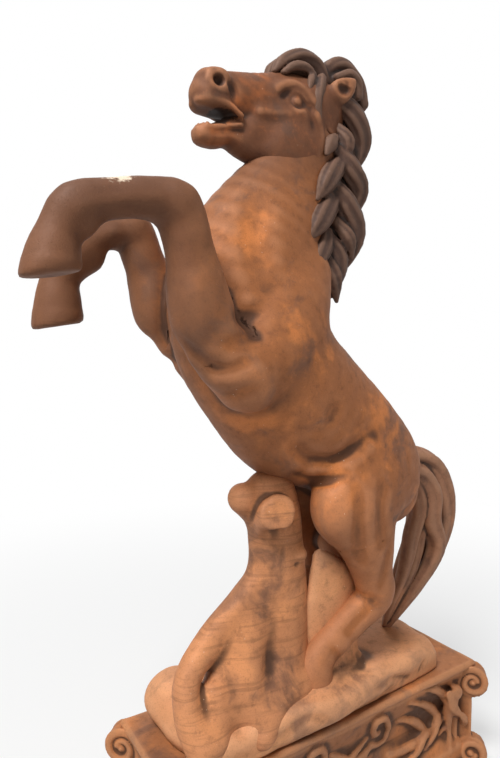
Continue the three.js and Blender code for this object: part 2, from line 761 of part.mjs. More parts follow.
onBothSides([headJoint[0], 22, headJoint[2]]).forEach((at, i) => {
  const side = i === 0 ? "left" : "right";
  const neckLug = rod(alongNeck(at, -lugThickness), alongNeck(at, -seam), 16, bossSides).intersect(bodyInside);
  const headLug = rod(at, alongNeck(at, lugThickness), 16, bossSides).intersect(headInside);
  const hole = bore(alongNeck(at, -lugThickness - 1), alongNeck(at, lugThickness + 1), boltRadius);
  castings.body = castings.body.add(neckLug).subtract(hole);
  castings.head = castings.head.add(headLug).subtract(hole);
  add(`head_bolt_${side}`, screw(alongNeck(at, -lugThickness - seam), alongNeck(at, lugThickness + 11)), "steel");
  add(`head_nut_${side}`, hexNut(alongNeck(at, lugThickness), alongNeck(at, 60), boltRadius), "steel");
});

// Tail, mane, forelock and ears

function fixHair(name, solid, screws) {
  screws.forEach(([from, to, word]) => {
    const hole = bore(towards(from, to, -seam), to, boltRadius);
    const seat = towards(to, from, boltHeadHeight + 4);
    const inHead = alongNeck([0, 0, 0], 1)[0] * (seat[0] - headJoint[0]) + neckWay[2] * (seat[2] - headJoint[2]) > 0;
    const part = inHead ? "head" : "body";
    const boss = rod(seat, from, bossRadius, bossSides).intersect(inHead ? headInside : bodyInside);
    castings[part] = castings[part].add(boss).subtract(hole);
    solid = solid.subtract(hole);
    add(`${name}_screw${word}`, screw(towards(seat, to, seam), from), "steel");
  });
  add(name, solid, "hair");
}

const nostrilHoles = onBothSides([-222, 38, 1030]).map((at) => swelling(at, [8, 13, 8], 0, 6));
castings.head = less(castings.head, nostrilHoles);
const manePiece = less(maneForm(), lowerBodyClear, headForm(seam));
const tailPiece = less(tailForm(), bodyClear, rockClear);
fixHair("tail", tailPiece, [[[286, 0, 346], [196, 0, 322], ""]]);
fixHair("mane", manePiece, [[[74, 0, 880], [-26, 0, 856], "_lower"], [[90, 0, 1036], [5, 0, 1015.6], "_upper"]]);

// Stump, with a dowel into the belly and two bolts up through the slab

const bellyDowel = [[-104, -20, 326], [-104, -20, 412]];
const dowelHole = bore(towards(bellyDowel[0], bellyDowel[1], -seam), towards(bellyDowel[1], bellyDowel[0], -seam), studRadius);
seatInBody(bellyDowel[0], towards(bellyDowel[1], bellyDowel[0], -6), studRadius, 0);
castings.stump = castings.stump.subtract(dowelHole);
add("belly_dowel", rod(...bellyDowel, studRadius), "steel");

const stumpCore = [
  [-108, -12, -20, 68, 72],
  [-104, -12, 44, 66, 70],
  [-98, -12, 120, 54, 58],
  [-98, -10, 250, 44, 48],
].map(([x, y, z, wide, deep]) => [x, y, z, wide - stumpWall, deep - stumpWall]);
castings.stump = castings.stump.subtract(loft(stumpCore, { sides: 6 }));

[["left", -50], ["right", 26]].forEach(([word, y]) => {
  const x = -140;
  const lug = rod([x, y, 0], [x, y, 16], 22, bossSides).intersect(stumpForm(-2)).subtract(rockClear);
  const boss = rod([x, y, -slabWall + 3], [x, y, -slabWall - 14], 16, bossSides);
  const head = [x, y, -slabWall - 14 - seam];
  const hole = bore([x, y, -slabWall - 15], [x, y, 25], boltRadius);
  castings.stump = castings.stump.add(lug).subtract(hole);
  castings.rock = castings.rock.add(boss).subtract(hole);
  add(`stump_bolt_${word}`, screw(head, [x, y, 24]), "steel");
});

// Slab bolts, up through the plinth's lugs and top plate into the slab's bosses

const cornerBolts = [[-1, -1, "front_left"], [-1, 1, "front_right"], [1, -1, "back_left"], [1, 1, "back_right"]];
const slabBoltOut = slabLength * 0.5 - 62;
const slabBoltWide = slabWidth * 0.5 - 40;
const plinthLugDepth = 16;

cornerBolts.forEach(([signX, signY, word]) => {
  const x = slabMiddle + signX * slabBoltOut;
  const y = signY * slabBoltWide;
  const wall = signY * (plinthWidth / 2 - plinthWall);
  const boss = rod([x, y, -slabWall + 3], [x, y, slabFoot], 16, bossSides);
  const lugFoot = bodyTop - plinthLugDepth;
  const lug = block([x - 16, Math.min(y - signY * 16, wall), lugFoot], [x + 16, Math.max(y - signY * 16, wall), bodyTop]);
  const hole = bore([x, y, lugFoot - 1], [x, y, -24], boltRadius);
  castings.plinth = castings.plinth.add(lug).subtract(hole);
  castings.plate = castings.plate.subtract(hole);
  castings.rock = castings.rock.add(boss).subtract(hole);
  add(`slab_bolt_${word}`, screw([x, y, lugFoot - seam], [x, y, -28]), "steel");
});

// Corner scrolls, each held by one bolt from inside the plinth

cornerBolts.forEach(([signX, signY, word]) => {
  const corner = [(signX * plinthLength) / 2, (signY * plinthWidth) / 2, (bodyTop + floor) / 2];
  const way = Math.SQRT1_2;
  const at = (distance) => [corner[0] - signX * way * distance, corner[1] - signY * way * distance, corner[2]];
  const hole = bore(at(86), at(34), boltRadius);
  const boss = rod(at(72), at(50), 14, bossSides).intersect(plinthForm(-2));
  castings.plinth = castings.plinth.add(boss).subtract(hole);
  castings.plate = castings.plate.subtract(scrollForm(signX, signY, seam));
  add(`corner_scroll_${word}`, less(scrollForm(signX, signY), plinthForm(seam), hole), "ornament");
  add(`scroll_bolt_${word}`, screw(at(72 + seam), at(34 + seam)), "steel");
});

const leftHalf = beyond([0, -seam / 2, 0], [0, -1, 0]);
add("body_left", castings.body.intersect(leftHalf), "hide");
add("body_right", castings.body.intersect(mirrored(leftHalf)), "hide");
add("head", castings.head, "hide");
add("tree_stump", castings.stump, "bark");
add("rock_base", castings.rock, "stone");
add("plinth_plate", castings.plate, "ornament");
add("plinth_body", castings.plinth, "ornament");

const middle = new THREE.Box3().setFromObject(statue).getCenter(new THREE.Vector3());
statue.position.set(-middle.x, -middle.y, -floor);

export default statue;
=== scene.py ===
"""A rearing horse in rusted cast iron, on a tree stump, a rock slab and a scrolled plinth.

Each casting is modelled as a founder models it: forms of clay are pressed together and cut, and the skin
over them becomes the piece. The plinth takes its sizes from the frame. The other forms are written in
millimetres, with x = 0 and y = 0 over the middle of the plinth and z = 0 at the top of the rock slab. The
horse faces -x.
"""
import math

import bmesh
import bpy
import numpy as np
import openvdb
from mathutils import Matrix, Vector


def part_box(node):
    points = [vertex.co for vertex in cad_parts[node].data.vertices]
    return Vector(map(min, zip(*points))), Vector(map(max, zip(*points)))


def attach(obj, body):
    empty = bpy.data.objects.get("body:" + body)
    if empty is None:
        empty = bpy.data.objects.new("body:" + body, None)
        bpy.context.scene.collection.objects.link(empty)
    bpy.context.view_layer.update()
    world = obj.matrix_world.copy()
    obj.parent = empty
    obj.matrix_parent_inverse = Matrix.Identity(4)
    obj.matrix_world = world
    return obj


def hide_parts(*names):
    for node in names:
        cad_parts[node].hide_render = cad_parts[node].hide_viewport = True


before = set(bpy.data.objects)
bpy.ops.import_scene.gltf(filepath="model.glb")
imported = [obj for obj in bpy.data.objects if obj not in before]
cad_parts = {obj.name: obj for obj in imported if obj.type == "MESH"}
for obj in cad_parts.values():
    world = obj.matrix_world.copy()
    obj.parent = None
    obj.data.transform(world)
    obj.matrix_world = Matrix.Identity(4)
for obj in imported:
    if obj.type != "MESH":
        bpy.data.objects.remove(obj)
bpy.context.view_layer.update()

plinth_low, plinth_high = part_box("plinth_body")
plate_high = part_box("plinth_plate")[1]
# the top of the rock slab above the top plate, in metres
SLAB_HEIGHT = 0.0563
ORIGIN = Vector(((plinth_low.x + plinth_high.x) / 2, 0, plate_high.z + SLAB_HEIGHT))
PLINTH_LENGTH = (plinth_high.x - plinth_low.x) * 1000
PLINTH_WIDTH = (plinth_high.y - plinth_low.y) * 1000
FLOOR = -ORIGIN.z * 1000
PLATE_TOP = (plate_high.z - ORIGIN.z) * 1000
BODY_TOP = (plinth_high.z - ORIGIN.z) * 1000

# how far the forelegs, the hind legs and the hind hooves stand out from the middle
FORE = 92
HIND = 86
HOOF = 62
BOTH = (-1, 1)


def placed(point):
    """A point of the forms, in the frame's metres."""
    return ORIGIN + Vector(point) / 1000


def shown(name, data):
    """Puts a mesh, a camera or a lamp in the scene."""
    made = bpy.data.objects.new(name, data)
    bpy.context.collection.objects.link(made)
    return made


# Camera: the photograph is taken from the horse's left and ahead of it, at the height of its elbows

CAMERA_PLACE = (-675, -822, 594)
CAMERA_TURN = 32.7
CAMERA_DIP = -2.67
PHOTO_HEIGHT = 758
FOCAL_PIXELS = 557
SENSOR = 36

camera_data = bpy.data.cameras.new("camera")
camera_data.sensor_width = SENSOR
camera_data.lens = SENSOR * FOCAL_PIXELS / PHOTO_HEIGHT
camera_data.clip_start = 0.02
camera = shown("camera", camera_data)
camera.location = placed(CAMERA_PLACE)
camera.rotation_euler = (math.radians(90 + CAMERA_DIP), 0, math.radians(-CAMERA_TURN))
bpy.context.scene.camera = camera
bpy.context.scene.view_settings.view_transform = "Standard"


# Clay

# grain of each casting's grid, in millimetres
BODY_GRAIN = 5.1
HEAD_GRAIN = 3.0
MANE_GRAIN = 3.1
TAIL_GRAIN = 3.4
STUMP_GRAIN = 4.1
ROCK_GRAIN = 4.8
PLINTH_GRAIN = 4.7
PLATE_GRAIN = 4.3
SCROLL_GRAIN = 3.0

# the field's value far from any form, and the room that is worked out around a form
AIR = 40.0
MARGIN = 14.0
# how deep the field is read on each side of the skin, in grains
BAND_GRAINS = 3.0
LATERAL = (0, 1, 0)
# about the middle level of a flute, which keeps a fluted form as thick as a plain one
FLUTE_LEVEL = 0.64
# how far along a line of sight a stroke looks for the skin
SIGHT = 220
# how far out from the middle strokes are aimed, where it isn't the horse's flank
CHEEK = 42
BARK = 60
PANEL = 100
LEDGE = 105


def smooth_line(stations, steps):
    """The stations and the places between them, on a smooth curve."""
    rows = np.array(stations, float)
    if steps == 1 or len(rows) < 3:
        return rows
    ends = np.vstack([2 * rows[0] - rows[1], rows, 2 * rows[-1] - rows[-2]])
    line = []
    for a, b, c, d in zip(ends, ends[1:], ends[2:], ends[3:]):
        for t in np.arange(steps) / steps:
            cubic = 3 * (b - c) + d - a
            line.append(b + 0.5 * t * (c - a + t * (2 * a - 5 * b + 4 * c - d + t * cubic)))
    return np.array([*line, rows[-1]])


def filleted(first, second, blend):
    """Two forms pressed together, with a fillet of the given size."""
    fillet = np.clip(blend - np.abs(first - second), 0, None) ** 2 / (4 * max(blend, 0.1))
    return np.minimum(first, second) - fillet


def beyond_egg(offsets, radii, swell=1):
    """Roughly how far points lie outside an ellipsoid, from their offsets along its axes."""
    q = np.sqrt(sum((offset / radius) ** 2 for offset, radius in zip(offsets, radii)))
    g = np.sqrt(sum((offset / radius**2) ** 2 for offset, radius in zip(offsets, radii)))
    return (q / swell - 1) * q / np.maximum(g, 1e-4)


def rounded(gaps, rounding):
    """The form that several slabs share, with rounded edges, from how far points lie outside each slab."""
    gaps = [gap + rounding for gap in gaps]
    outside = np.sqrt(sum(np.clip(gap, 0, None) ** 2 for gap in gaps))
    inside = gaps[0]
    for gap in gaps[1:]:
        inside = np.maximum(inside, gap)
    return outside + np.minimum(inside, 0) - rounding


class Clay:
    """A block of clay on a grid. Its field says how far each point lies outside the form."""

    def __init__(self, low, high, grain):
        self.low = np.array(low, float)
        self.high = np.array(high, float)
        self.grain = grain
        size = np.ceil((self.high - self.low) / grain).astype(int) + 1
        self.field = np.full(size, AIR, np.float32)

    def window(self, low, high):
        """The part of the grid between two corners, and its x, y and z."""
        counts = np.array(self.field.shape)
        first = np.clip(np.floor((np.array(low) - self.low) / self.grain).astype(int), 0, counts - 1)
        last = np.clip(np.ceil((np.array(high) - self.low) / self.grain).astype(int) + 1, first + 1, counts)
        steps = [np.arange(first[axis], last[axis]) for axis in range(3)]
        axes = [(self.low[axis] + self.grain * steps[axis]).astype(np.float32) for axis in range(3)]
        return tuple(map(slice, first, last)), np.meshgrid(*axes, indexing="ij", sparse=True)

    def swept(self, stations, steps=3, lateral=LATERAL, flutes=0, flute_depth=0.1, twist=0.0):
        """A form swept through stations [x, y, z, half its width, half its depth], as a field of its own."""
        line = smooth_line(stations, steps)
        reach = line[:, 3:].max() + MARGIN
        part, _ = self.window(line[:, :3].min(0) - reach, line[:, :3].max(0) + reach)
        shape = np.full([s.stop - s.start for s in part], AIR, np.float32)
        lateral = np.array(lateral, float)
        for i, (a, b) in enumerate(zip(line, line[1:])):
            near = max(a[3:].max(), b[3:].max()) + MARGIN
            low, high = np.minimum(a[:3], b[:3]) - near, np.maximum(a[:3], b[:3]) + near
            sub, (x, y, z) = self.window(low, high)
            inner = tuple(slice(s.start - p.start, s.stop - p.start) for s, p in zip(sub, part))
            length = np.linalg.norm(b[:3] - a[:3])
            way = (b[:3] - a[:3]) / length
            side = lateral - way * lateral.dot(way)
            side /= np.linalg.norm(side)
            down = np.cross(way, side)
            x, y, z = x - a[0], y - a[1], z - a[2]
            along = x * way[0] + y * way[1] + z * way[2]
            t = np.clip(along / length, 0, 1)
            over = along - t * length
            across = x * side[0] + y * side[1] + z * side[2]
            below = x * down[0] + y * down[1] + z * down[2]
            wide = a[3] + (b[3] - a[3]) * t
            deep = a[4] + (b[4] - a[4]) * t
            slim = np.minimum(wide, deep)
            swell = 1
            if flutes:
                turn = np.arctan2(below / deep, across / wide) + twist * (i + t) / (len(line) - 1)
                swell = 1 + flute_depth * (np.abs(np.cos(0.5 * flutes * turn)) - FLUTE_LEVEL)
            distance = beyond_egg((across, below, over), (wide, deep, slim), swell)
            np.minimum(shape[inner], distance, out=shape[inner])
        return part, shape

    def join(self, part, shape, blend=10):
        """Presses a form onto the clay, with a fillet of the given size."""
        self.field[part] = filleted(self.field[part], shape, blend)

    def cut(self, part, shape, blend=4):
        """Takes a form out of the clay, with a rounded edge."""
        self.field[part] = -filleted(-self.field[part], shape, blend)

    def limb(self, stations, blend=10, **how):
        """Adds a swept form."""
        self.join(*self.swept(stations, **how), blend)

    def groove(self, stations, blend=4, **how):
        """Takes a swept form away."""
        self.cut(*self.swept(stations, **how), blend)

    def egg(self, centre, radii):
        """An ellipsoid, as a field of its own."""
        centre, radii = np.array(centre, float), np.array(radii, float)
        part, (x, y, z) = self.window(centre - radii - MARGIN, centre + radii + MARGIN)
        return part, beyond_egg((x - centre[0], y - centre[1], z - centre[2]), radii)

    def swell(self, centre, radii, blend=10):
        """Adds an ellipsoid."""
        self.join(*self.egg(centre, radii), blend)

    def dent(self, centre, radii, blend=6):
        """Takes an ellipsoid away."""
        self.cut(*self.egg(centre, radii), blend)

    def block(self, low, high, rounding):
        """A box with rounded edges, as a field of its own."""
        low, high = np.array(low, float), np.array(high, float)
        part, axes = self.window(low - MARGIN, high + MARGIN)
        gaps = [np.abs(axis - (a + b) / 2) - (b - a) / 2 for axis, a, b in zip(axes, low, high)]
        return part, rounded(gaps, rounding)

    def slice_off(self, point, way, blend=0.1):
        """Takes away all that lies past a plane."""
        way = np.array(way, float) / np.linalg.norm(way)
        part, (x, y, z) = self.window(self.low, self.low + self.grain * np.array(self.field.shape))
        past = (x - point[0]) * way[0] + (y - point[1]) * way[1] + (z - point[2]) * way[2]
        self.cut(part, -past, blend)

    def sighted(self, x, y, z, side):
        """The point of the skin seen from the photograph's place, or its mirror image, behind a point."""
        eye = np.array(CAMERA_PLACE, float)
        aim = np.array([x, -abs(y), z], float)
        eye[1] *= -side
        aim[1] *= -side
        way = (aim - eye) / np.linalg.norm(aim - eye)
        steps = np.arange(-SIGHT, SIGHT, self.grain / 2)
        spots = aim + steps[:, None] * way
        cells = np.rint((spots - self.low) / self.grain).astype(int)
        cells = np.clip(cells, 1, np.array(self.field.shape) - 2)
        depths = self.field[tuple(cells.T)]
        inside = np.flatnonzero(depths < 0)
        hit = inside[0] if len(inside) else int(np.argmin(depths))
        i, j, k = cells[hit]
        near = self.field[i - 1:i + 2, j - 1:j + 2, k - 1:k + 2]
        slope = np.array([(np.take(near, 2, axis) - np.take(near, 0, axis)).mean() for axis in range(3)])
        facing = slope / max(np.linalg.norm(slope), 1e-6)
        return spots[hit] - facing * self.field[i, j, k], facing

    def stroke(self, points, radius, height, sides=(-1,), blend=6, y=90, taper=1.0):
        """Raises a ridge along points (x, z) of the skin or, with a height below 0, presses a groove."""
        for side in sides:
            line = smooth_line(points, 3)
            places, facings = np.array([self.sighted(x, y, z, side) for x, z in line]).swapaxes(0, 1)
            for row in (places, facings, places, facings):
                row[1:-1] = (row[:-2] + 2 * row[1:-1] + row[2:]) / 4
            stations = []
            for t, place, facing in zip(np.linspace(0, 1, len(line)), places, facings):
                size = radius * (1 - (1 - taper) * t)
                rise = abs(height) * math.sin(math.pi * min(max(t, 0.04), 0.96)) ** 0.6
                sink = rise - size if height > 0 else size - rise
                stations.append([*(place + facing * sink), size, size])
            if height > 0:
                self.limb(stations, blend, steps=1)
            else:
                self.groove(stations, blend, steps=1)

    def soften(self):
        """Evens the field out a little, along each axis in turn."""
        for axis in range(3):
            f = np.moveaxis(self.field, axis, 0)
            f[1:-1] = 0.25 * f[:-2] + 0.5 * f[1:-1] + 0.25 * f[2:]

    def skin(self, name):
        """The clay's skin as a mesh, with a value at each point that says how hollow the form is there."""
        grid = openvdb.FloatGrid(BAND_GRAINS)
        grid.copyFromArray(np.clip(self.field / self.grain, -BAND_GRAINS, BAND_GRAINS))
        points, _, quads = grid.convertToPolygons(isovalue=0.0, adaptivity=0.0)
        points = points.astype(np.float32) * self.grain + self.low.astype(np.float32)
        return mesh_of(name, points, quads)


# the pattern's slight unevenness: the way and pitch of each wave, its start and its height
LUMP_WAVES = [
    ((0.021, 0.033, 0.017), 0.4, 0.35),
    ((0.052, -0.031, 0.044), 1.9, 0.25),
    ((-0.083, 0.064, 0.091), 3.1, 0.18),
    ((0.17, 0.13, -0.15), 0.7, 0.1),
]
# how many rings of neighbours a point is held against, to say how hollow the form is there
RINGS = 10


def mesh_of(name, points, quads):
    """A smooth mesh of these points and faces, slightly uneven as a hand-made pattern is."""
    sides = [quads[:, [corner, (corner + 1) % 4]] for corner in range(4)]
    edges = np.unique(np.sort(np.vstack(sides), axis=1), axis=0)
    count = np.bincount(edges.ravel(), minlength=len(points)).astype(np.float32)[:, None]

    def averaged(values):
        total = np.zeros_like(values)
        for axis in range(values.shape[1]):
            total[:, axis] = np.bincount(edges[:, 0], values[edges[:, 1], axis], len(points))
            total[:, axis] += np.bincount(edges[:, 1], values[edges[:, 0], axis], len(points))
        return total / count

    corners = points[quads]
    facing = np.cross(corners[:, 2] - corners[:, 0], corners[:, 3] - corners[:, 1])
    normals = np.zeros_like(points)
    for corner in range(4):
        for axis in range(3):
            normals[:, axis] += np.bincount(quads[:, corner], facing[:, axis], len(points))
    normals /= np.maximum(np.linalg.norm(normals, axis=1, keepdims=True), 1e-9)
    spread = points
    for _ in range(RINGS):
        spread = averaged(spread)
    hollow = ((spread - points) * normals).sum(1)
    lift = sum(height * np.sin(points @ np.array(wave) + start) for wave, start, height in LUMP_WAVES)
    points = points + normals * lift[:, None].astype(np.float32)
    mesh = bpy.data.meshes.new(name)
    mesh.vertices.add(len(points))
    mesh.vertices.foreach_set("co", ((points / 1000) + np.array(ORIGIN, np.float32)).ravel())
    mesh.loops.add(quads.size)
    mesh.loops.foreach_set("vertex_index", quads.astype(np.int32).ravel())
    mesh.polygons.add(len(quads))
    mesh.polygons.foreach_set("loop_start", np.arange(0, quads.size, 4, dtype=np.int32))
    mesh.update(calc_edges=True)
    mesh.attributes.new("hollow", "FLOAT", "POINT").data.foreach_set("value", hollow.astype(np.float32))
    mesh.polygons.foreach_set("use_smooth", np.ones(len(quads), bool))
    return mesh


def piece(name, mesh, finish, slot, *nodes):
    """Puts a casting in the scene, in place of its nodes of the frame."""
    made = shown(name, mesh)
    mesh.materials.clear()
    mesh.materials.append(finish)
    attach(made, "root")
    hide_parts(*nodes)


def cut_loose(mesh, name, inside):
    """Takes the faces inside a region off the mesh, closes both cuts and returns the part's mesh."""
    centres = np.empty(3 * len(mesh.polygons), np.float32)
    mesh.polygons.foreach_get("center", centres)
    taken = inside((centres.reshape(-1, 3) - np.array(ORIGIN, np.float32)) * 1000)
    body = bmesh.new()
    body.from_mesh(mesh)
    limb = body.copy()
    made = bpy.data.meshes.new(name)
    for half, target, kept in ((body, mesh, False), (limb, made, True)):
        bmesh.ops.delete(half, geom=[f for f, t in zip(half.faces, taken) if t != kept], context="FACES")
        bmesh.ops.holes_fill(half, edges=[e for e in half.edges if e.is_boundary], sides=0)
        half.to_mesh(target)
        half.free()
    return made


def keep_facings(mesh):
    """Notes which way the whole skin faces, so that its parts are shaded without a seam."""
    facings = np.empty(3 * len(mesh.vertices), np.float32)
    mesh.vertex_normals.foreach_get("vector", facings)
    mesh.attributes.new("facing", "FLOAT_VECTOR", "POINT").data.foreach_set("vector", facings)


def use_facings(mesh):
    """Shades a part by the facings that were noted on the whole skin."""
    facings = np.empty(3 * len(mesh.vertices), np.float32)
    mesh.attributes["facing"].data.foreach_get("vector", facings)
    mesh.attributes.remove(mesh.attributes["facing"])
    mesh.normals_split_custom_set_from_vertices(facings.reshape(-1, 3).tolist())


# Rust

def linear(red, green, blue):
    """A colour as the eye reads it in a photograph, turned into light."""
    shares = [value / 255 for value in (red, green, blue)]
    return (*(s / 12.92 if s < 0.04045 else ((s + 0.055) / 1.055) ** 2.4 for s in shares), 1)


class Wire:
    """A value that runs over a surface, from one socket. Sums and products of it add the nodes for them."""

    def __init__(self, finish, socket):
        self.finish = finish
        self.socket = socket

    def __add__(self, other):
        return self.finish.node("Math", {"operation": "ADD"}, [self, other])

    def __sub__(self, other):
        return self.finish.node("Math", {"operation": "SUBTRACT"}, [self, other])

    def __rsub__(self, other):
        return self.finish.node("Math", {"operation": "SUBTRACT"}, [other, self])

    def __mul__(self, other):
        return self.finish.node("Math", {"operation": "MULTIPLY"}, [self, other])

    __radd__ = __add__
    __rmul__ = __mul__

    def between(self, low, high):
        """0 below low, 1 above high, and smooth in between."""
        ends = {"Value": self, "From Min": low, "From Max": high}
        return self.finish.node("MapRange", {"interpolation_type": "SMOOTHSTEP"}, ends)


# Sockets, by their numbers: of Texture Coordinate, Vector Math, Attribute, Mix and Light Path
PLACE, FACING = 3, 1
MEASURE = 1
AMOUNT = 2
MIX_SHARE, MIX_FIRST, MIX_SECOND, MIXED = 0, 6, 7, 2
CAMERA_RAY, GLOSSY_RAY, TRANSMISSION_RAY = 0, 3, 6


class Finish:
    """A material, or the light of the world, in the making."""

    def __init__(self, name, holders=bpy.data.materials):
        self.holder = holders.new(name)
        self.holder.use_nodes = True
        self.tree = self.holder.node_tree
        self.tree.nodes.clear()

    def node(self, kind, settings=None, inputs=(), output=0):
        """Adds a node with its settings, and with values or wires for its sockets."""
        made = self.tree.nodes.new("ShaderNode" + kind)
        for key, value in (settings or {}).items():
            setattr(made, key, value)
        for key, value in inputs.items() if isinstance(inputs, dict) else enumerate(inputs):
            if isinstance(value, Wire):
                self.tree.links.new(value.socket, made.inputs[key])
            else:
                made.inputs[key].default_value = value
        return Wire(self, made.outputs[output]) if made.outputs else None

    def mixed(self, share, first, second):
        """The first colour where the share is 0, and the second where it is 1."""
        colours = {MIX_SHARE: share, MIX_FIRST: first, MIX_SECOND: second}
        return self.node("Mix", {"data_type": "RGBA"}, colours, output=MIXED)

    def noise(self, place, scale, detail=3, roughness=0.55, distortion=0.0):
        settings = {"Vector": place, "Scale": scale, "Detail": detail, "Roughness": roughness}
        return self.node("TexNoise", None, {**settings, "Distortion": distortion})

    def output(self, kind, shader):
        self.node("Output" + kind, None, {"Surface": shader})
        return self.holder

    def surface(self, sockets):
        return self.output("Material", self.node("BsdfPrincipled", None, sockets))


DARK = linear(46, 29, 21)
SHADE = linear(84, 54, 38)
BROWN = linear(152, 94, 55)
ORANGE = linear(200, 122, 66)
PALE = linear(200, 138, 98)
PLUM = linear(102, 72, 58)
SPECK = linear(226, 206, 182)


def rust(name, ground=BROWN, bright=ORANGE, worn=PALE, dull=PLUM, deep=DARK, patches=0.5, dulling=0.45,
         lines=0, worn_and_shaded_spots=(), painted_shade_bands=()):
    """Old rust: a ground with brighter and duller patches, worn ridges, darker hollows, pits and pale
    specks.

    The hollows' darkness is partly rust and partly painted shade. Undersides and given bands get painted
    shade, and ragged spots of another colour give worn marks and painted shade.
    """
    f = Finish(name)
    place = f.node("TexCoord", output=PLACE)
    broad = f.noise(place, 7.5, detail=4, roughness=0.6, distortion=0.3)
    shifted = f.node("VectorMath", {"operation": "ADD"}, [place, (3.1, 1.7, 0.6)])
    cloudy = f.noise(shifted, 11, detail=5, roughness=0.62, distortion=0.5)
    mottle = f.noise(place, 62, detail=5, roughness=0.68)
    grain = f.noise(place, 420, detail=4, roughness=0.6)
    pits = f.node("TexVoronoi", {"feature": "F1"}, {"Vector": place, "Scale": 330, "Randomness": 1.0})
    hollow = f.node("Attribute", {"attribute_name": "hollow"}, output=AMOUNT)

    colour = f.mixed(broad.between(0.62 - 0.2 * patches, 0.78 - 0.2 * patches), ground, bright)
    colour = f.mixed(cloudy.between(0.56 - 0.1 * dulling, 0.72 - 0.1 * dulling) * 0.75, colour, dull)
    colour = f.mixed(mottle.between(0.5, 0.72) * 0.35, colour, SHADE)
    colour = f.mixed((1 - mottle.between(0.28, 0.46)) * 0.3, colour, bright)
    colour = f.mixed((1 - hollow.between(-1.6, -0.15)) * 0.4, colour, worn)
    # hollows get the deep colour: partly rust in them, partly painted shade
    colour = f.mixed(hollow.between(0.15, 1.7) * 0.8, colour, deep)
    colour = f.mixed(grain.between(0.5, 0.75) * 0.28, colour, SHADE)
    fleck = f.noise(place, 240, detail=2).between(0.735, 0.765) * broad.between(0.45, 0.6)
    colour = f.mixed(fleck * 0.6, colour, SPECK)
    # painted shade: surfaces that face down are darkened towards SHADE
    facing = f.node("TexCoord", output=FACING)
    painted_underside_shade = f.node("VectorMath", {"operation": "DOT_PRODUCT"}, [facing, (0, 0, -1)], output=MEASURE)
    colour = f.mixed(painted_underside_shade.between(0.1, 0.95) * 0.5, colour, SHADE)
    # painted shade: darker bands along the given ways
    for way, start, end, amount in painted_shade_bands:
        along = f.node("VectorMath", {"operation": "DOT_PRODUCT"}, [place, way], output=MEASURE)
        colour = f.mixed(along.between(start, end) * amount, colour, SHADE)
    # ragged spots of another colour: worn marks, and painted shade
    for spot, reach, shown in worn_and_shaded_spots:
        apart = f.node("VectorMath", {"operation": "DISTANCE"}, [place, spot], output=MEASURE)
        ragged = apart * (1 / reach) + (mottle - 0.5) * 1.6
        colour = f.mixed(1 - ragged.between(0.55, 0.8), colour, shown)

    height = mottle * 0.55 + grain * 0.4 - (1 - pits.between(0.05, 0.3)) * mottle.between(0.42, 0.6) * 0.5
    if lines:
        stretched = f.node("VectorMath", {"operation": "MULTIPLY"}, [place, (9, 9, 150)])
        wrinkle = f.noise(stretched, 1.0, detail=2, distortion=0.4)
        height = height + wrinkle * lines
        colour = f.mixed((1 - wrinkle.between(0.3, 0.5)) * 0.3, colour, SHADE)
    bump = f.node("Bump", None, {"Strength": 0.55, "Distance": 0.0016, "Height": height})
    sockets = {"Base Color": colour, "Roughness": mottle * 0.3 + 0.5, "Metallic": 0.1}
    return f.surface({**sockets, "Specular IOR Level": 0.3, "Normal": bump})


# spots: their place in the frame's metres, their reach and their colour; the worn mark is wear, the mouth's
# spot is painted shade
WORN_MARK = ((-0.345, -0.106, 1.131), 0.03, SPECK)
# painted shade inside the open mouth
MOUTH_PAINTED_SHADE = ((-0.126, 0, 1.281), 0.036, DARK)
# stretches of painted shade: the way they lie, where they begin and are full along it, and how dark they are
# the forelegs' band is painted shade
PAINTED_SHADE_FORELEGS = ((-1, 0, 0), 0.13, 0.29, 0.72)
# the throat's band is partly painted shade under the jaw and partly the neck's duller rust
THROAT_DULLING_AND_SHADE = ((-0.3, 0, 1), 1.14, 1.24, 0.6)
hide_rust = rust("rust_of_the_hide", dulling=0.4, worn_and_shaded_spots=(WORN_MARK,), painted_shade_bands=(PAINTED_SHADE_FORELEGS, THROAT_DULLING_AND_SHADE))
head_rust = rust("rust_of_the_head", ground=linear(108, 66, 42), bright=linear(172, 98, 52),
                 dull=linear(86, 60, 47), patches=0.62, worn_and_shaded_spots=(MOUTH_PAINTED_SHADE,))
mane_rust = rust("rust_of_the_mane", ground=linear(74, 52, 42), bright=linear(98, 68, 50),
                 worn=linear(140, 106, 86), deep=linear(22, 15, 12), patches=0.35, dulling=0.2)
tail_rust = rust("rust_of_the_tail", ground=linear(146, 102, 76), bright=linear(178, 124, 90),
                 worn=linear(176, 132, 102), deep=linear(40, 27, 21), patches=0.5, dulling=0.5)
bark_rust = rust("rust_of_the_bark", ground=linear(188, 126, 84), bright=linear(214, 144, 94), lines=1.0,
                 dulling=0.3)
rock_rust = rust("rust_of_the_rock", ground=linear(206, 144, 100), bright=linear(224, 158, 108),
                 worn=linear(220, 162, 120), dull=linear(124, 88, 70), patches=0.6)
ornament_rust = rust("rust_of_the_ornament", ground=linear(162, 106, 68), bright=linear(192, 122, 72),
                     worn=linear(208, 150, 108), dull=linear(112, 80, 64), patches=0.6)


def steel():
    """The stained steel of the fastenings."""
    f = Finish("stained_steel")
    place = f.node("TexCoord", output=PLACE)
    stain = f.noise(place, 90, detail=4)
    fine = f.noise(place, 900, detail=2)
    colour = f.mixed(stain.between(0.5, 0.7), linear(150, 146, 140), linear(112, 84, 64))
    bump = f.node("Bump", None, {"Strength": 0.25, "Distance": 0.0004, "Height": fine})
    rough = stain * 0.3 + 0.3
    return f.surface({"Base Color": colour, "Roughness": rough, "Metallic": 0.85, "Normal": bump})


steel_finish = steel()
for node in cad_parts.values():
    node.data.materials.clear()
    node.data.materials.append(steel_finish)


# Trunk, neck and legs

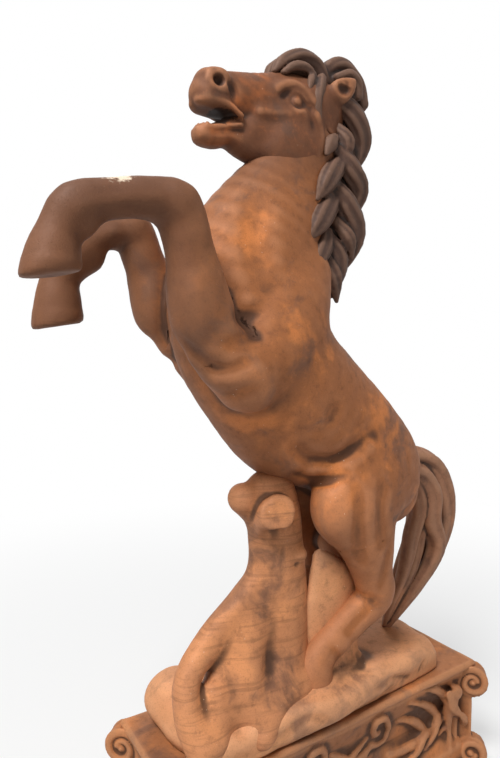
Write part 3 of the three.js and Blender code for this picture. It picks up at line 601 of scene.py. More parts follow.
TRUNK = [
    [172, 0, 316, 78, 78],
    [139, 0, 366, 101, 105],
    [89, 0, 410, 108, 115],
    [31, 0, 452, 110, 125],
    [-45, 0, 494, 118, 142],
    [-100, 0, 549, 122, 138],
    [-153, 0, 634, 117, 138],
    [-154, 0, 719, 101, 132],
    [-120, 0, 793, 82, 119],
    [-74, 0, 868, 62, 97],
    [-42, 0, 936, 50, 75],
    [-20, 0, 998, 45, 66],
    [2, 0, 1044, 42, 54],
]
NEAR_ELBOW = [-212, -FORE, 556, 44, 54]
FAR_ELBOW = [-186, FORE - 6, 566, 40, 43]
STIFLE = [-20, -HIND + 1, 314, 44, 62]
HEAD_JOINT = (-20, 0, 998)
NECK_WAY = (0.52, 0, 0.855)

NEAR_FORELEG = [
    [-268, -FORE - 4, 606, 43, 48],
    [-299, -FORE - 6, 682, 39, 45],
    [-316, -FORE - 8, 750, 33, 36],
    [-334, -FORE - 8, 796, 36, 37],
    [-376, -FORE - 8, 804, 29, 30],
    [-428, -FORE - 8, 795, 25, 28],
    [-474, -FORE - 8, 780, 28, 31],
    [-495, -FORE - 8, 746, 26, 29],
    [-503, -FORE - 8, 716, 32, 35],
    [-508, -FORE - 8, 670, 37, 42],
]
FAR_FORELEG = [
    [-236, FORE - 2, 618, 40, 45],
    [-284, FORE, 701, 37, 42],
    [-308, FORE, 760, 33, 35],
    [-326, FORE, 796, 35, 36],
    [-364, FORE, 796, 29, 30],
    [-406, FORE, 776, 25, 27],
    [-438, FORE, 746, 27, 29],
    [-449, FORE, 704, 28, 31],
    [-451, FORE, 674, 34, 37],
    [-452, FORE, 612, 39, 43],
]
HINDLEG = [
    [18, -HIND - 1, 316, 50, 74],
    [50, -HIND, 246, 43, 53],
    [72, -HIND + 3, 184, 34, 41],
    [82, -HIND + 7, 138, 32, 38],
    [43, (-HIND - HOOF) / 2, 108, 28, 33],
    [-6, -HOOF - 6, 76, 27, 32],
    [-40, -HOOF - 2, 48, 29, 33],
    [-54, -HOOF, 22, 35, 38],
    [-62, -HOOF, -24, 40, 44],
]


# how steeply the soles of the forehooves climb towards the hoof's back
SOLE_TILT = 0.17


def mirrored(stations):
    """The same stations on the horse's other side."""
    return [[x, -y, *rest] for x, y, *rest in stations]


def shoulder(elbow):
    """The shoulder, from the withers down to the elbow."""
    side = math.copysign(1, elbow[1])
    return [[-50, side * 44, 736, 36, 44], [-98, side * 70, 672, 44, 62],
            [-154, side * 82, 600, 46, 60], elbow]


def foreleg(clay, elbow, line, sole, heavy):
    """One foreleg, with its knee, fetlock, band above the hoof and flat sole, in clay of its own.

    A heavy one has a thicker fetlock.
    """
    forearm, knee, shin, cannon, fetlock = (line[i] for i in (1, 3, 4, 5, 6))
    x, y, z = knee[:3]
    leg = Clay(clay.low, clay.high, clay.grain)
    leg.limb([elbow, *line], 2)
    leg.swell([x - 2, y, z + 8], [31, 33, 29], 12)
    leg.swell([x + 14, y, z - 34], [24, 27, 26], 16)
    leg.swell([fetlock[0] + 8, y, fetlock[2] - 18], [19, 20, 22], 12)
    if heavy:
        leg.swell([fetlock[0] + 30, y, fetlock[2] + 5], [34, 24, 29], 24)
    leg.swell([forearm[0] - 14, y, forearm[2] - 20], [26, 34, 52], 22)
    leg.groove([[shin[0] - 4, y, shin[2] - 34, 3.5, 7], [cannon[0], y, cannon[2] - 32, 3.5, 7]], 10)
    for side in BOTH:
        tendon = [[px, py + side * (wide - 4), pz - 6, 5, 5]
                  for px, py, pz, wide, _ in (shin, cannon, fetlock)]
        leg.limb(tendon, 10)
    coronet = [(line[8][i] + line[9][i]) / 2 for i in range(3)]
    leg.swell([coronet[0] + 2, coronet[1], coronet[2] + 12], [35, 36, 7], 6)
    part, (sole_x, _, sole_z) = leg.window([leg.low[0], y - 80, 560], [-380, y + 80, 760])
    below = SOLE_TILT * (sole_x - sole[0]) - (sole_z - sole[2])
    leg.cut(part, -below * np.ones(leg.field[part].shape, np.float32), 3)
    return leg


horse = Clay([-566, -152, -6], [276, 150, 1108], BODY_GRAIN)
horse.limb(TRUNK, 1)
for elbow in (NEAR_ELBOW, FAR_ELBOW):
    horse.limb(shoulder(elbow), 26)
haunch = [[150, -48, 336, 52, 74], [100, -66, 346, 56, 94], [35, -HIND + 4, 334, 52, 88], STIFLE]
for thigh in (haunch, mirrored(haunch)):
    horse.limb(thigh, 24)
for hindleg in (HINDLEG, mirrored(HINDLEG)):
    side = math.copysign(1, hindleg[0][1])
    horse.limb(hindleg, 18)
    horse.swell([100, side * (HIND - 7), 150], [18, 17, 30], 16)
    horse.swell([-2, side * (HIND - 6), 330], [40, 44, 46], 30)
    horse.swell([70, side * (HIND - 4), 262], [34, 34, 60], 26)
    horse.swell([-12, side * (HOOF + 6), 72], [22, 29, 22], 12)
horse.swell([60, 0, 212], [34, 44, 36], 24)
forelegs = []
for elbow, line, sole, heavy in (
    (NEAR_ELBOW, NEAR_FORELEG, (-507, 0, 690), False),
    (FAR_ELBOW, FAR_FORELEG, (-452, 0, 636), True),
):
    leg = foreleg(horse, elbow, line, sole, heavy)
    forelegs.append(leg)
    horse.join((slice(None),) * 3, leg.field, 16)

# the fold behind the elbow and the tongue of hide under it
horse.stroke([(-322, 616), (-304, 593), (-275, 572), (-249, 566), (-218, 572)], 11, -7, (-1,), 12)
horse.stroke([(-256, 552), (-240, 555), (-222, 559), (-196, 563)], 14, 5, (-1,), 16)
horse.stroke([(-300, 600), (-270, 582), (-240, 574), (-205, 584)], 11, -6, (1,), 12)
# hollows of the shoulder and the back
horse.stroke([(-226, 645), (-206, 653), (-188, 662)], 15, -5, BOTH, 14)
horse.stroke([(-246, 603), (-224, 610), (-196, 620)], 14, -5, BOTH, 14)
horse.stroke([(-34, 480), (-30, 494)], 16, -3.5, BOTH, 14)
horse.stroke([(-176, 700), (-196, 760), (-190, 830)], 26, -5, BOTH, 26)
# the fold of the flank and the fold of hide from the belly to the stifle
horse.stroke([(66, 446), (29, 424), (-7, 411), (-53, 407), (-91, 416), (-112, 432)], 13, -5, BOTH, 16)
horse.stroke([(48, 424), (10, 400), (-30, 390), (-70, 392)], 15, 4, BOTH, 18)
horse.stroke([(-6, 380), (-44, 372), (-84, 380), (-112, 392)], 10, -5, BOTH, 13)
# muscles of the thigh
horse.stroke([(24, 350), (33, 310), (28, 262), (34, 220)], 15, -5, BOTH, 16)
horse.stroke([(92, 340), (84, 296), (88, 240)], 14, -4, BOTH, 16)
horse.stroke([(206, 362), (190, 322), (162, 290), (124, 276)], 10, -6, BOTH, 12)
horse.stroke([(112, 236), (100, 196), (88, 160)], 9, -5, BOTH, 10)
# the hollow between the shin and the tendon of the hind leg
horse.stroke([(66, 132), (34, 108), (4, 92)], 8, -4, BOTH, 9)
horse.stroke([(-30, 72), (-14, 52), (-22, 30)], 6, -3, BOTH, 7)
horse.soften()
horse.slice_off((0, 0, 0.3), (0, 0, -1))
horse.slice_off(HEAD_JOINT, NECK_WAY)
body_mesh = horse.skin("iron_body")
keep_facings(body_mesh)

# the legs' cuts: a foreleg's reach around its own clay, where the haunch ends, and the way along each leg
LIMB_REACH = 12
HAUNCH_BACK = 138
FORELEG_WAY = (-0.5, 0, 0.86)
HIND_LEG_WAY = (0.25, 0, -0.97)


def of_foreleg(leg, point):
    """The region past a plane and near a foreleg's own clay."""
    def inside(spots):
        cells = np.rint((spots - leg.low) / leg.grain).astype(int)
        cells = np.clip(cells, 0, np.array(leg.field.shape) - 1)
        past = (spots - np.array(point)) @ np.array(FORELEG_WAY) > 0
        return past & (leg.field[tuple(cells.T)] < LIMB_REACH)
    return inside


def of_hind_leg(side, point):
    """The region past a plane, on one side and in front of the back of the haunch."""
    def inside(spots):
        past = (spots - np.array(point)) @ np.array(HIND_LEG_WAY) > 0
        return past & (spots[:, 1] * side > 0) & (spots[:, 0] < HAUNCH_BACK)
    return inside


limbs = [
    ("foreleg_left", of_foreleg(forelegs[0], (-252, -96, 596))),
    ("foreleg_right", of_foreleg(forelegs[1], (-236, 92, 616))),
    ("hind_leg_left", of_hind_leg(-1, (44, -86, 258))),
    ("hind_leg_right", of_hind_leg(1, (44, 86, 258))),
]
for node, region in limbs:
    limb_mesh = cut_loose(body_mesh, "iron_" + node, region)
    use_facings(limb_mesh)
    piece("iron_" + node, limb_mesh, hide_rust, "hide_iron", node)
use_facings(body_mesh)
piece("iron_body", body_mesh, hide_rust, "hide_iron", "body_left", "body_right")


# Head

FACE = [
    [0, 0, 1040, 42, 50],
    [-50, 0, 1030, 45, 62],
    [-105, 0, 1026, 40, 56],
    [-155, 0, 1026, 33, 43],
    [-198, 0, 1022, 31, 37],
    [-220, 0, 1018, 33, 35],
    [-229, 0, 1016, 32, 32],
]
LOWER_JAW = [
    [-85, 0, 942, 34, 34],
    [-130, 0, 944, 30, 27],
    [-165, 0, 950, 25, 24],
    [-196, 0, 952, 22, 14],
    [-222, 0, 946, 22, 15],
    [-243, 0, 949, 19, 13],
]
head = Clay([-286, -78, 872], [76, 78, 1118], HEAD_GRAIN)
head.limb(TRUNK[8:], 1)
head.slice_off(HEAD_JOINT, [-v for v in NECK_WAY])
head.limb(FACE, 16)
head.limb(LOWER_JAW, 10)
for side in BOTH:
    head.swell([-64, side * 20, 964], [62, 32, 70], 12)
    head.swell([-80, side * 20, 950], [55, 27, 50], 14)
    head.swell([-132, side * 16, 974], [42, 16, 24], 14)
    head.swell([-30, side * 26, 1040], [34, 24, 36], 14)
    head.limb([[-46, side * 38, 1008, 8, 7], [-96, side * 36, 1000, 7, 6], [-146, side * 29, 998, 5, 5]], 16)
    # lips and nostrils
    head.limb([[-251, side * 10, 998, 8, 6], [-238, side * 22, 999, 7, 6], [-208, side * 27, 997, 6, 5],
               [-180, side * 27, 984, 5, 5]], 8)
    head.limb([[-251, side * 6, 955, 7, 6], [-232, side * 16, 959, 6, 6], [-204, side * 20, 966, 5, 5],
               [-182, side * 24, 972, 6, 6]], 7)
    head.swell([-221, side * 21, 1029], [20, 17, 19], 10)
head.swell([-240, 0, 944], [15, 17, 11], 10)
head.swell([-237, 0, 1041], [13, 25, 14], 9)
head.swell([-240, 0, 1010], [11, 27, 20], 9)
# the open mouth, with its tongue and its front teeth
head.groove([[-180, 0, 976, 36, 3], [-206, 0, 977, 34, 11], [-246, 0, 976, 34, 15],
             [-284, 0, 975, 36, 18]], 4)
head.limb([[-150, 0, 974, 20, 16], [-180, 0, 974, 22, 17], [-208, 0, 966, 19, 12], [-234, 0, 958, 12, 7]], 4)
for side in BOTH:
    for step in range(3):
        head.swell([-250 + 5 * step, side * (4 + 7 * step), 963], [4, 3.6, 5], 1.5)
    # nostril
    head.dent([-226, side * 43, 1029], [10.5, 26, 10.5], 4)
head.stroke([(-214, 1028), (-205, 1014), (-204, 1002)], 8, -8, BOTH, 6, y=CHEEK)
head.stroke([(-254, 1020), (-248, 1036), (-232, 1044), (-218, 1038), (-214, 1026)], 4, 3, BOTH, 5, y=CHEEK)
# eye: hollow, brow, ball and lids
for side in BOTH:
    head.dent([-84, side * 50, 1028], [24, 12, 15], 10)
head.stroke([(-118, 1040), (-96, 1052), (-68, 1050), (-44, 1034)], 9, 6, BOTH, 9, y=CHEEK)
head.stroke([(-112, 1026), (-104, 1032), (-94, 1034)], 7, -6, BOTH, 6, y=CHEEK)
for side in BOTH:
    head.swell([-77, side * 36, 1025], [12, 11, 11.5], 0.6)
head.stroke([(-98, 1024), (-92, 1036), (-77, 1042), (-62, 1036), (-54, 1024)], 4, 4.5, BOTH, 3, y=CHEEK)
head.stroke([(-96, 1018), (-86, 1011), (-70, 1010), (-58, 1017)], 3.5, 3, BOTH, 3, y=CHEEK)
head.stroke([(-50, 1022), (-42, 1004), (-44, 984)], 8, -4, BOTH, 9, y=CHEEK)
head.stroke([(-36, 1010), (-22, 974), (-34, 926)], 10, 5, BOTH, 10, y=CHEEK)
# ears
for side in BOTH:
    head.limb([[2, side * 34, 1052, 14, 17], [14, side * 47, 1062, 12, 22], [30, side * 54, 1074, 8, 17],
               [42, side * 56, 1086, 4, 6]], 5)
    head.dent([16, side * 62, 1066], [15, 12, 14], 3)
    head.limb([[4, side * 52, 1078, 3, 3], [16, side * 57, 1073, 3, 3], [28, side * 60, 1070, 2.5, 2.5]], 3)
head.soften()
piece("iron_head", head.skin("iron_head"), head_rust, "hide_iron", "head")


# Mane and forelock

MANE_ROPE = [
    [22, 0, 1092, 26, 26],
    [48, 0, 1096, 30, 30],
    [62, 0, 1048, 32, 32],
    [60, 0, 994, 34, 30],
    [50, 0, 929, 36, 30],
    [34, 0, 859, 38, 32],
    [12, 0, 794, 38, 30],
    [-6, 0, 739, 30, 24],
    [-12, 0, 712, 18, 16],
]
FRONT_LOCKS = [
    [[10, -40, 984, 7, 8], [-6, -48, 968, 10, 13], [-22, -53, 944, 3, 4]],
    [[32, -34, 950, 9, 10], [6, -46, 926, 13, 18], [-24, -56, 894, 13, 19], [-48, -60, 860, 3, 4]],
    [[18, -36, 886, 10, 12], [-12, -50, 856, 13, 20], [-46, -62, 820, 13, 20], [-76, -66, 784, 3, 4]],
    [[-4, -36, 812, 10, 12], [-26, -54, 784, 13, 19], [-52, -66, 756, 11, 16], [-68, -70, 728, 3, 4]],
    [[14, -40, 836, 8, 10], [34, -52, 804, 11, 15], [46, -48, 772, 3, 4]],
    [[-14, -40, 772, 10, 12], [-4, -54, 732, 13, 19], [10, -48, 688, 4, 5]],
]
REAR_LOCKS = [
    [[17, -30, 1062, 12, 14], [55, -38, 1036, 15, 22], [81, -36, 1000, 14, 22], [81, -30, 964, 10, 13],
     [65, -28, 934, 3, 4]],
    [[17, -36, 966, 10, 14], [45, -44, 934, 15, 22], [73, -38, 898, 14, 20], [59, -30, 844, 4, 5]],
    [[-1, -38, 904, 10, 14], [31, -48, 866, 15, 22], [59, -44, 818, 15, 22], [43, -36, 766, 9, 12],
     [23, -32, 742, 3, 4]],
    [[-11, -38, 806, 12, 14], [15, -46, 766, 14, 20], [5, -42, 716, 11, 15], [-15, -38, 688, 4, 5]],
    [[21, -30, 1010, 9, 10], [37, -44, 980, 12, 16], [29, -40, 944, 3, 4]],
]
FORELOCK = [
    [[-106, -12, 1082, 9, 5], [-88, -14, 1102, 13, 12], [-52, -15, 1119, 15, 14], [-16, -15, 1115, 14, 14],
     [4, -14, 1090, 12, 12]],
    [[-94, -24, 1078, 7, 5], [-74, -30, 1092, 8, 8], [-48, -32, 1094, 8, 9], [-32, -32, 1080, 6, 7]],
    [[2, -10, 1106, 12, 12], [28, -14, 1126, 14, 14], [58, -14, 1128, 15, 15], [86, -16, 1104, 14, 15],
     [96, -18, 1070, 12, 13]],
    [[24, -30, 1098, 8, 8], [46, -38, 1106, 9, 9], [66, -38, 1094, 9, 10], [72, -36, 1072, 7, 8]],
    [[-14, -30, 1086, 9, 9], [-28, -42, 1060, 10, 11], [-38, -47, 1030, 8, 10], [-32, -48, 996, 3, 4]],
    [[-34, -30, 1088, 7, 7], [-46, -40, 1068, 7, 8], [-54, -44, 1048, 3, 3]],
]
mane = Clay([-122, -86, 664], [142, 86, 1156], MANE_GRAIN)
mane.limb(MANE_ROPE, 1)
mane.limb([[-84, 0, 1084, 18, 6], [-60, 0, 1098, 20, 12], [-20, 0, 1100, 22, 18], [30, 0, 1104, 22, 22]], 4)
for lock in [*FRONT_LOCKS, *REAR_LOCKS]:
    for line in (lock, mirrored(lock)):
        mane.limb(line, 2, steps=4, flutes=6, flute_depth=0.2, twist=0.9)
for lock in FORELOCK:
    for line in (lock, mirrored(lock)):
        mane.limb(line, 1.5, steps=5, flutes=5, flute_depth=0.18, twist=1.2)
piece("iron_mane", mane.skin("iron_mane"), mane_rust, "hair_iron", "mane")


# Tail

TAIL_STRANDS = [
    [[206, -4, 368, 22, 18], [264, -4, 372, 25, 21], [322, -6, 348, 27, 25], [354, -8, 298, 28, 27],
     [366, -8, 240, 27, 26], [352, -8, 182, 25, 24], [308, -6, 114, 21, 20], [250, -4, 56, 15, 15],
     [204, 0, 12, 7, 7]],
    [[214, -14, 350, 18, 17], [270, -24, 336, 21, 21], [304, -26, 288, 22, 23], [300, -28, 232, 22, 22],
     [322, -28, 176, 20, 19], [298, -22, 120, 16, 16], [250, -14, 70, 11, 11], [212, -6, 26, 5, 5]],
    [[212, 14, 352, 18, 16], [270, 24, 344, 21, 20], [312, 26, 300, 22, 22], [322, 26, 240, 22, 22],
     [304, 24, 180, 20, 19], [262, 18, 118, 16, 15], [222, 10, 62, 11, 11], [196, 4, 12, 6, 6]],
    [[216, -10, 340, 17, 15], [258, -16, 312, 18, 16], [270, -20, 262, 18, 17], [250, -20, 208, 17, 16],
     [238, -18, 156, 15, 14], [224, -12, 104, 12, 11], [204, -6, 60, 9, 9], [190, -2, 16, 4, 4]],
    [[262, -8, 300, 16, 16], [282, -10, 244, 17, 17], [276, -12, 186, 16, 16], [262, -10, 130, 14, 14],
     [228, -6, 76, 10, 10], [200, -2, 28, 5, 5]],
]
tail = Clay([186, -62, -2], [404, 62, 404], TAIL_GRAIN)
for strand in TAIL_STRANDS:
    tail.limb(strand, 2, steps=4, flutes=4, flute_depth=0.2, twist=1.6)
piece("iron_tail", tail.skin("iron_tail"), tail_rust, "hair_iron", "tail")


# Tree stump

STUMP = [
    [-108, -12, -22, 96, 104],
    [-108, -12, 8, 76, 84],
    [-104, -12, 50, 63, 68],
    [-98, -12, 120, 54, 58],
    [-96, -11, 190, 50, 54],
    [-98, -10, 250, 47, 51],
    [-104, -9, 310, 45, 51],
    [-112, -8, 346, 42, 48],
]
ARCHED_ROOT = [
    [-120, -14, 196, 26, 34],
    [-150, -16, 176, 28, 32],
    [-182, -18, 154, 27, 30],
    [-238, -24, 118, 24, 27],
    [-290, -38, 76, 23, 21],
    [-298, -56, 26, 25, 24],
    [-284, -78, -16, 28, 30],
]
stump = Clay([-330, -128, -46], [10, 100, 404], STUMP_GRAIN)
stump.limb(STUMP, 1)
stump.limb(ARCHED_ROOT, 18)
stump.limb([[-140, -16, 150, 30, 38], [-186, -22, 116, 28, 32], [-212, -28, 80, 26, 31],
            [-222, -36, 40, 32, 36], [-234, -46, 6, 42, 42]], 16)
stump.limb([[-150, -24, 140, 26, 30], [-176, -36, 100, 30, 32], [-186, -46, 56, 34, 34],
            [-188, -54, 8, 44, 40]], 22)
stump.limb([[-252, -50, 40, 22, 24], [-258, -60, 10, 30, 28], [-262, -70, -16, 34, 30]], 16)
stump.limb([[-116, -6, 308, 34, 40], [-146, -8, 332, 32, 34], [-168, -10, 342, 27, 27]], 10)
stump.limb([[-120, -16, 296, 32, 34], [-130, -44, 312, 31, 34], [-139, -78, 330, 30, 33]], 9)
stump.slice_off((-139, -76, 326), (-0.22, -0.93, 0.3), 3)
stump.dent([-141, -68, 276], [27, 24, 26], 7)
stump.swell([-74, -50, 236], [16, 13, 12], 8)
stump.dent([-84, -60, 222], [12, 7, 9], 6)
stump.limb([[-60, -30, 40, 22, 20], [-34, -44, 6, 24, 22], [-14, -56, -22, 20, 20]], 26)
stump.limb([[-130, -60, 30, 20, 20], [-160, -84, 0, 26, 22], [-190, -100, -24, 24, 20]], 30)
# cracks down from the sawn end, and fine wrinkles of the bark around the trunk
stump.stroke([(-152, 356), (-148, 338), (-152, 318), (-146, 304)], 3.5, -3, (-1,), 3, y=BARK)
stump.stroke([(-134, 354), (-130, 336), (-134, 316)], 3, -2.4, (-1,), 3, y=BARK)
stump.stroke([(-118, 348), (-118, 330), (-122, 314)], 3, -2, (-1,), 3, y=BARK)
for level in range(7):
    high = 292 - 13 * level
    wrinkle = [(-142 + level, high - 22), (-112, high - 34), (-76, high - 24), (-58, high - 8)]
    stump.stroke(wrinkle, 3, -0.9, (-1,), 4, y=BARK)
for level in range(9):
    high = 96 - 11 * level
    wrinkle = [(-164, high + 6), (-132, high - 6), (-96, high - 6), (-62, high + 8)]
    stump.stroke(wrinkle, 3, -0.9, BOTH, 4, y=BARK)
stump.soften()
piece("iron_stump", stump.skin("iron_stump"), bark_rust, "bark_iron", "tree_stump")


# Rock slab

SLAB_FOOT = PLATE_TOP + 0.4
rock = Clay([-326, -142, SLAB_FOOT - 6], [276, 142, 246], ROCK_GRAIN)
rock.join(*rock.block([-286, -98, SLAB_FOOT - 20], [262, 102, -3], 16), 1)
rock.slice_off((-208, -104, -30), (-0.66, -0.75, 0.12), 14)
rock.slice_off((262, -60, -20), (0.9, -0.36, 0.25), 8)
rock.slice_off((228, 102, -20), (0.7, 0.7, 0.2), 10)
rock.swell([-266, 64, -14], [54, 44, 46], 20)
rock.swell([-250, 10, -34], [60, 70, 36], 24)
rock.limb([[-276, -62, -8, 30, 30], [-244, -88, -30, 32, 26], [-200, -100, -44, 30, 18]], 24)
rock.limb([[-190, -96, -24, 30, 24], [-110, -106, -22, 28, 24], [-30, -106, -20, 26, 22],
           [60, -96, -18, 24, 20]], 26)
rock.limb([[80, -84, -16, 30, 18], [170, -82, -14, 32, 18], [236, -70, -12, 28, 18]], 22)
rock.swell([-96, -16, -14], [130, 92, 26], 30)
rock.swell([170, 14, -10], [92, 70, 20], 26)
rock.swell([-62, -60, 2], [42, 40, 14], 16)
rock.swell([60, 60, 0], [60, 36, 14], 18)
# flat breaks: a point of each, and the way it faces
BREAKS = [
    ((-60, -128, -20), (-0.1, -0.95, -0.2)),
    ((120, -108, -30), (0.12, -0.95, -0.16)),
    ((20, -120, 2), (0.06, -0.8, 0.6)),
    ((200, -92, 4), (0.35, -0.6, 0.7)),
    ((-150, -122, -2), (-0.2, -0.8, 0.6)),
    ((-296, 30, 16), (-0.8, -0.3, 0.5)),
]
for point, way in BREAKS:
    rock.slice_off(point, way, 10)
# the wedge between the stump and the near hind leg
rock.limb([[-10, -30, -14, 48, 92], [2, -36, 84, 30, 70], [4, -43, 148, 20, 62], [-14, -45, 196, 13, 37],
           [-30, -46, 228, 7, 12]], 26)
rock.stroke([(60, -30), (110, -22), (150, -34)], 8, -5, (-1,), 9, y=LEDGE)
rock.stroke([(-150, -34), (-100, -22), (-60, -36)], 9, -5, (-1,), 10, y=LEDGE)
rock.stroke([(176, -40), (188, -18), (210, -10)], 5, -4, (-1,), 5, y=LEDGE)
rock.slice_off((0, 0, SLAB_FOOT), (0, 0, -1))
piece("iron_rock", rock.skin("iron_rock"), rock_rust, "rock_iron", "rock_base")


# Plinth: top plate, waisted body with leaf relief, corner scrolls

# how far the body's sides step in, and the level at which they do
PLINTH_PROFILE = [
    (0, FLOOR), (0, FLOOR + 26), (7, FLOOR + 34), (8, FLOOR + 62), (26, FLOOR + 90),
    (34, FLOOR + 128), (26, FLOOR + 172), (10, BODY_TOP - 12), (8, BODY_TOP),
]
PLINTH_WALL = 11
PLINTH_ROUNDING = 12
PLATE_FOOT = BODY_TOP + 0.3
half_length, half_width = PLINTH_LENGTH / 2, PLINTH_WIDTH / 2


def waisted(clay, wall):
    """The plinth's body, or its hollow where there is a wall, as a field."""
    part, (x, y, z) = clay.window(clay.low, clay.high + clay.grain)
    levels = np.array([z for inset, z in PLINTH_PROFILE])
    insets = np.array([inset for inset, z in PLINTH_PROFILE])
    inset = np.interp(z, levels, insets).astype(np.float32) + wall
    around = rounded([np.abs(x) - (half_length - inset), np.abs(y) - (half_width - inset)], PLINTH_ROUNDING)
    if wall:
        return part, around + np.zeros_like(z)
    return part, np.maximum(around, np.maximum(z - BODY_TOP, FLOOR - z))


plinth_room = np.array([half_length + 4, half_width + 4, 0])
plinth = Clay([0, 0, FLOOR - 3] - plinth_room, [0, 0, BODY_TOP + 3] + plinth_room, PLINTH_GRAIN)
plinth.join(*waisted(plinth, 0), 0.1)


def both_ends(points):
    """A line of the relief, and its mirror image at the plinth's other end."""
    return points, [(-x, z) for x, z in points]


LEAF_STEM = [(330, -112), (300, -128), (262, -142), (226, -158), (186, -170), (140, -174), (98, -168)]
LEAF_LOBES = [
    [(312, -122), (298, -102), (278, -90)],
    [(278, -138), (264, -110), (238, -88), (206, -78)],
    [(242, -152), (224, -122), (192, -100), (158, -88)],
    [(206, -165), (182, -138), (152, -118), (124, -110)],
    [(288, -134), (270, -162), (248, -184)],
    [(248, -150), (226, -178), (198, -200)],
    [(202, -168), (180, -194), (150, -210)],
]
# the curl beside each swag: its middle, its reach, how fast it tightens, and where it starts and ends
ROSETTE = (73, -108)
CURL_REACH = 32
CURL_TIGHTENING = 3.4
CURL_START = 2.2
CURL_END = 7
SWAGS = [
    [(52, -136), (22, -142), (-14, -128), (-44, -112)],
    [(56, -148), (22, -164), (-16, -158), (-48, -144)],
]
for line in both_ends(LEAF_STEM):
    plinth.stroke(line, 10, 9, BOTH, 6, y=PANEL)
for lobe in LEAF_LOBES:
    for line in both_ends(lobe):
        plinth.stroke(line, 14, 9, BOTH, 2, y=PANEL, taper=0.3)
        plinth.stroke(line, 3, -2.5, BOTH, 2, y=PANEL)
for swag in SWAGS:
    plinth.stroke(swag, 8, 7, BOTH, 3, y=PANEL, taper=0.5)
    plinth.stroke([(-x, z - 2) for x, z in swag], 8, 7, BOTH, 3, y=PANEL, taper=0.5)
for sign in BOTH:
    curl = []
    for a in np.linspace(0, CURL_END, 18):
        reach = CURL_REACH - CURL_TIGHTENING * a
        across = ROSETTE[0] + reach * math.cos(a - CURL_START)
        curl.append((sign * across, ROSETTE[1] + reach * math.sin(a - CURL_START)))
    plinth.stroke(curl, 7, 8, BOTH, 2, y=PANEL)
for flute in range(3):
    x = 276 + 24 * flute
    for line in both_ends([(x, -150), (x + 3, -190), (x + 8, -232)]):
        plinth.stroke(line, 8, 3, BOTH, 4, y=PANEL)
plinth.cut(*waisted(plinth, PLINTH_WALL), 3)
piece("iron_plinth", plinth.skin("iron_plinth"), ornament_rust, "ornament_iron", "plinth_body")

plate = Clay([0, 0, BODY_TOP - 3] - plinth_room, [0, 0, PLATE_TOP + 3] + plinth_room, PLATE_GRAIN)
plate_corners = [-half_length, -half_width, PLATE_FOOT], [half_length, half_width, PLATE_TOP]
plate.join(*plate.block(*plate_corners, 4), 0.1)
piece("iron_plate", plate.skin("iron_plate"), ornament_rust, "ornament_iron", "plinth_plate")

# corner scrolls: the volutes' radii, the band's thickness, its reach past the corner, and half its width
VOLUTE = 34
FOOT_VOLUTE = 36
BAND = 17
SCROLL_OUT = 26
SCROLL_HALF = 17
# half the widths of the band's channel and of the discs behind the volutes
CHANNEL_HALF = 9.5
DISC_HALF = 12.5


def winding(centre, radius, upwards):
    """A volute's line, from the stem around to its eye. Each point carries its band's thickness."""
    line = []
    for t in np.linspace(0, 1, 34):
        angle = math.pi - 2.9 * math.pi * t
        reach = radius * (1 - 0.72 * t**0.85)
        line.append([centre[0] + reach * math.cos(angle), centre[1] + upwards * reach * math.sin(angle),
                     BAND * (1 - 0.55 * t)])
    return line


def scroll():
    """One corner scroll: a band with raised rims that curls outwards at its head and its foot."""
    head_eye = (SCROLL_OUT - VOLUTE, PLATE_TOP - VOLUTE - BAND / 2)
    foot_eye = (SCROLL_OUT - FOOT_VOLUTE, FLOOR + FOOT_VOLUTE + BAND / 2)
    upper = winding(head_eye, VOLUTE, 1)
    lower = winding(foot_eye, FOOT_VOLUTE, -1)
    stem = []
    for t in np.linspace(0.08, 0.92, 8):
        swell = math.sin(math.pi * t)
        stem.append([lower[0][0] + (upper[0][0] - lower[0][0]) * t - 6 * swell,
                     lower[0][1] + (upper[0][1] - lower[0][1]) * t, BAND * (1 + 0.5 * swell)])
    line = np.array([*lower[::-1], *stem, *upper])
    clay = Clay([-72, -24, FLOOR - 2], [SCROLL_OUT + 18, 24, PLATE_TOP + 4], SCROLL_GRAIN)
    part, (u, w, v) = clay.window(clay.low, clay.high + clay.grain)
    band = np.full((u.shape[0], 1, v.shape[2]), AIR)
    for a, b in zip(line, line[1:]):
        du, dv = b[0] - a[0], b[1] - a[1]
        t = np.clip(((u - a[0]) * du + (v - a[1]) * dv) / (du * du + dv * dv), 0, 1)
        away = np.sqrt((u - a[0] - t * du) ** 2 + (v - a[1] - t * dv) ** 2)
        band = np.minimum(band, away - (a[2] + (b[2] - a[2]) * t) / 2)
    solid = rounded([band, np.abs(w) - SCROLL_HALF], 3)
    channel = np.maximum(np.abs(w) - CHANNEL_HALF, -(band + 3.0))
    clay.join(part, solid, 0.1)
    clay.cut(part, channel + np.zeros_like(solid), 2.5)
    for eye, radius in ((head_eye, VOLUTE), (foot_eye, FOOT_VOLUTE)):
        disc = np.sqrt((u - eye[0]) ** 2 + (v - eye[1]) ** 2) - radius + 2
        clay.join(part, np.maximum(disc, np.abs(w) - DISC_HALF), 1.5)
        clay.swell([eye[0], 0, eye[1]], [9, 19, 9], 2)
    clay.join(*clay.block([-62, -10, foot_eye[1] + 10], [head_eye[0], 10, head_eye[1]], 3), 3)
    return clay.skin("iron_scroll")


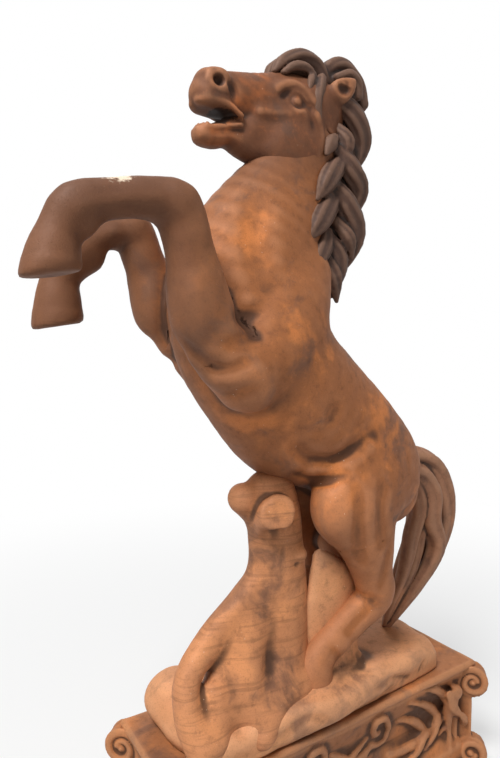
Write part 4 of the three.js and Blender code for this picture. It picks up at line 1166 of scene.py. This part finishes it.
CORNERS = ((-1, -1, "front_left"), (-1, 1, "front_right"), (1, -1, "back_left"), (1, 1, "back_right"))
scroll_mesh = scroll()
for sign_x, sign_y, word in CORNERS:
    mesh = scroll_mesh.copy()
    corner = Vector((sign_x * half_length, sign_y * half_width, 0)) / 1000
    turn = Matrix.Rotation(math.atan2(sign_y, sign_x), 4, "Z")
    mesh.transform(Matrix.Translation(ORIGIN + corner) @ turn @ Matrix.Translation(-ORIGIN))
    piece(f"iron_scroll_{word}", mesh, ornament_rust, "ornament_iron", f"corner_scroll_{word}")


# Floor, backdrop and lamps

def seen_rays(f):
    """1 for rays from the camera and for those that a glossy or clear surface sends on, else 0."""
    rays = [f.node("LightPath", output=kind) for kind in (CAMERA_RAY, GLOSSY_RAY, TRANSMISSION_RAY)]
    return (rays[0] + rays[1] + rays[2]).between(0, 1)


def floor_finish():
    """A pale floor with the object's shadow; away from the object it grows as white as the backdrop."""
    f = Finish("pale_floor")
    place = f.node("TexCoord", output=PLACE)
    away = f.node("VectorMath", {"operation": "LENGTH"}, [place], output=MEASURE)
    pale = f.node("BsdfDiffuse", None, {"Color": (0.86, 0.86, 0.85, 1)})
    glow = f.node("Emission", None, {"Color": (1, 1, 1, 1), "Strength": 1.0})
    white = seen_rays(f) * (away.between(0.5, 2.4) * 0.45 + 0.55)
    return f.output("Material", f.node("MixShader", None, {0: white, 1: pale, 2: glow}))


# half the floor's side, in metres
FLOOR_EDGE = 60
corners = [(x * FLOOR_EDGE, y * FLOOR_EDGE, 0) for x, y in ((-1, -1), (1, -1), (1, 1), (-1, 1))]
floor_mesh = bpy.data.meshes.new("floor")
floor_mesh.from_pydata(corners, [], [(0, 1, 2, 3)])
floor_mesh.materials.append(floor_finish())
floor = shown("floor", floor_mesh)

studio = Finish("studio", bpy.data.worlds)
bpy.context.scene.world = studio.holder
fill = studio.node("Background", None, {"Color": (0.92, 0.96, 1, 1), "Strength": 0.14})
backdrop = studio.node("Background", None, {"Color": (1, 1, 1, 1), "Strength": 1.0})
studio.output("World", studio.node("MixShader", None, {0: seen_rays(studio), 1: fill, 2: backdrop}))

# Soft square lamps, aimed at the middle of the statue: name, place, watts, side
LAMPS = [
    ("key_lamp", (-2.5, -1.4, 4.5), 262, 1.5),
    ("side_lamp", (2.6, -2.8, 2.2), 9, 2.4),
    ("back_lamp", (1.6, 3.2, 3.0), 34, 1.6),
]
AIM = Vector((0, 0, 0.8))
for name, place, watts, side in LAMPS:
    lamp = bpy.data.lights.new(name, "AREA")
    lamp.energy = watts
    lamp.size = side
    holder = shown(name, lamp)
    holder.location = place
    holder.rotation_euler = (AIM - holder.location).to_track_quat("-Z", "Y").to_euler()
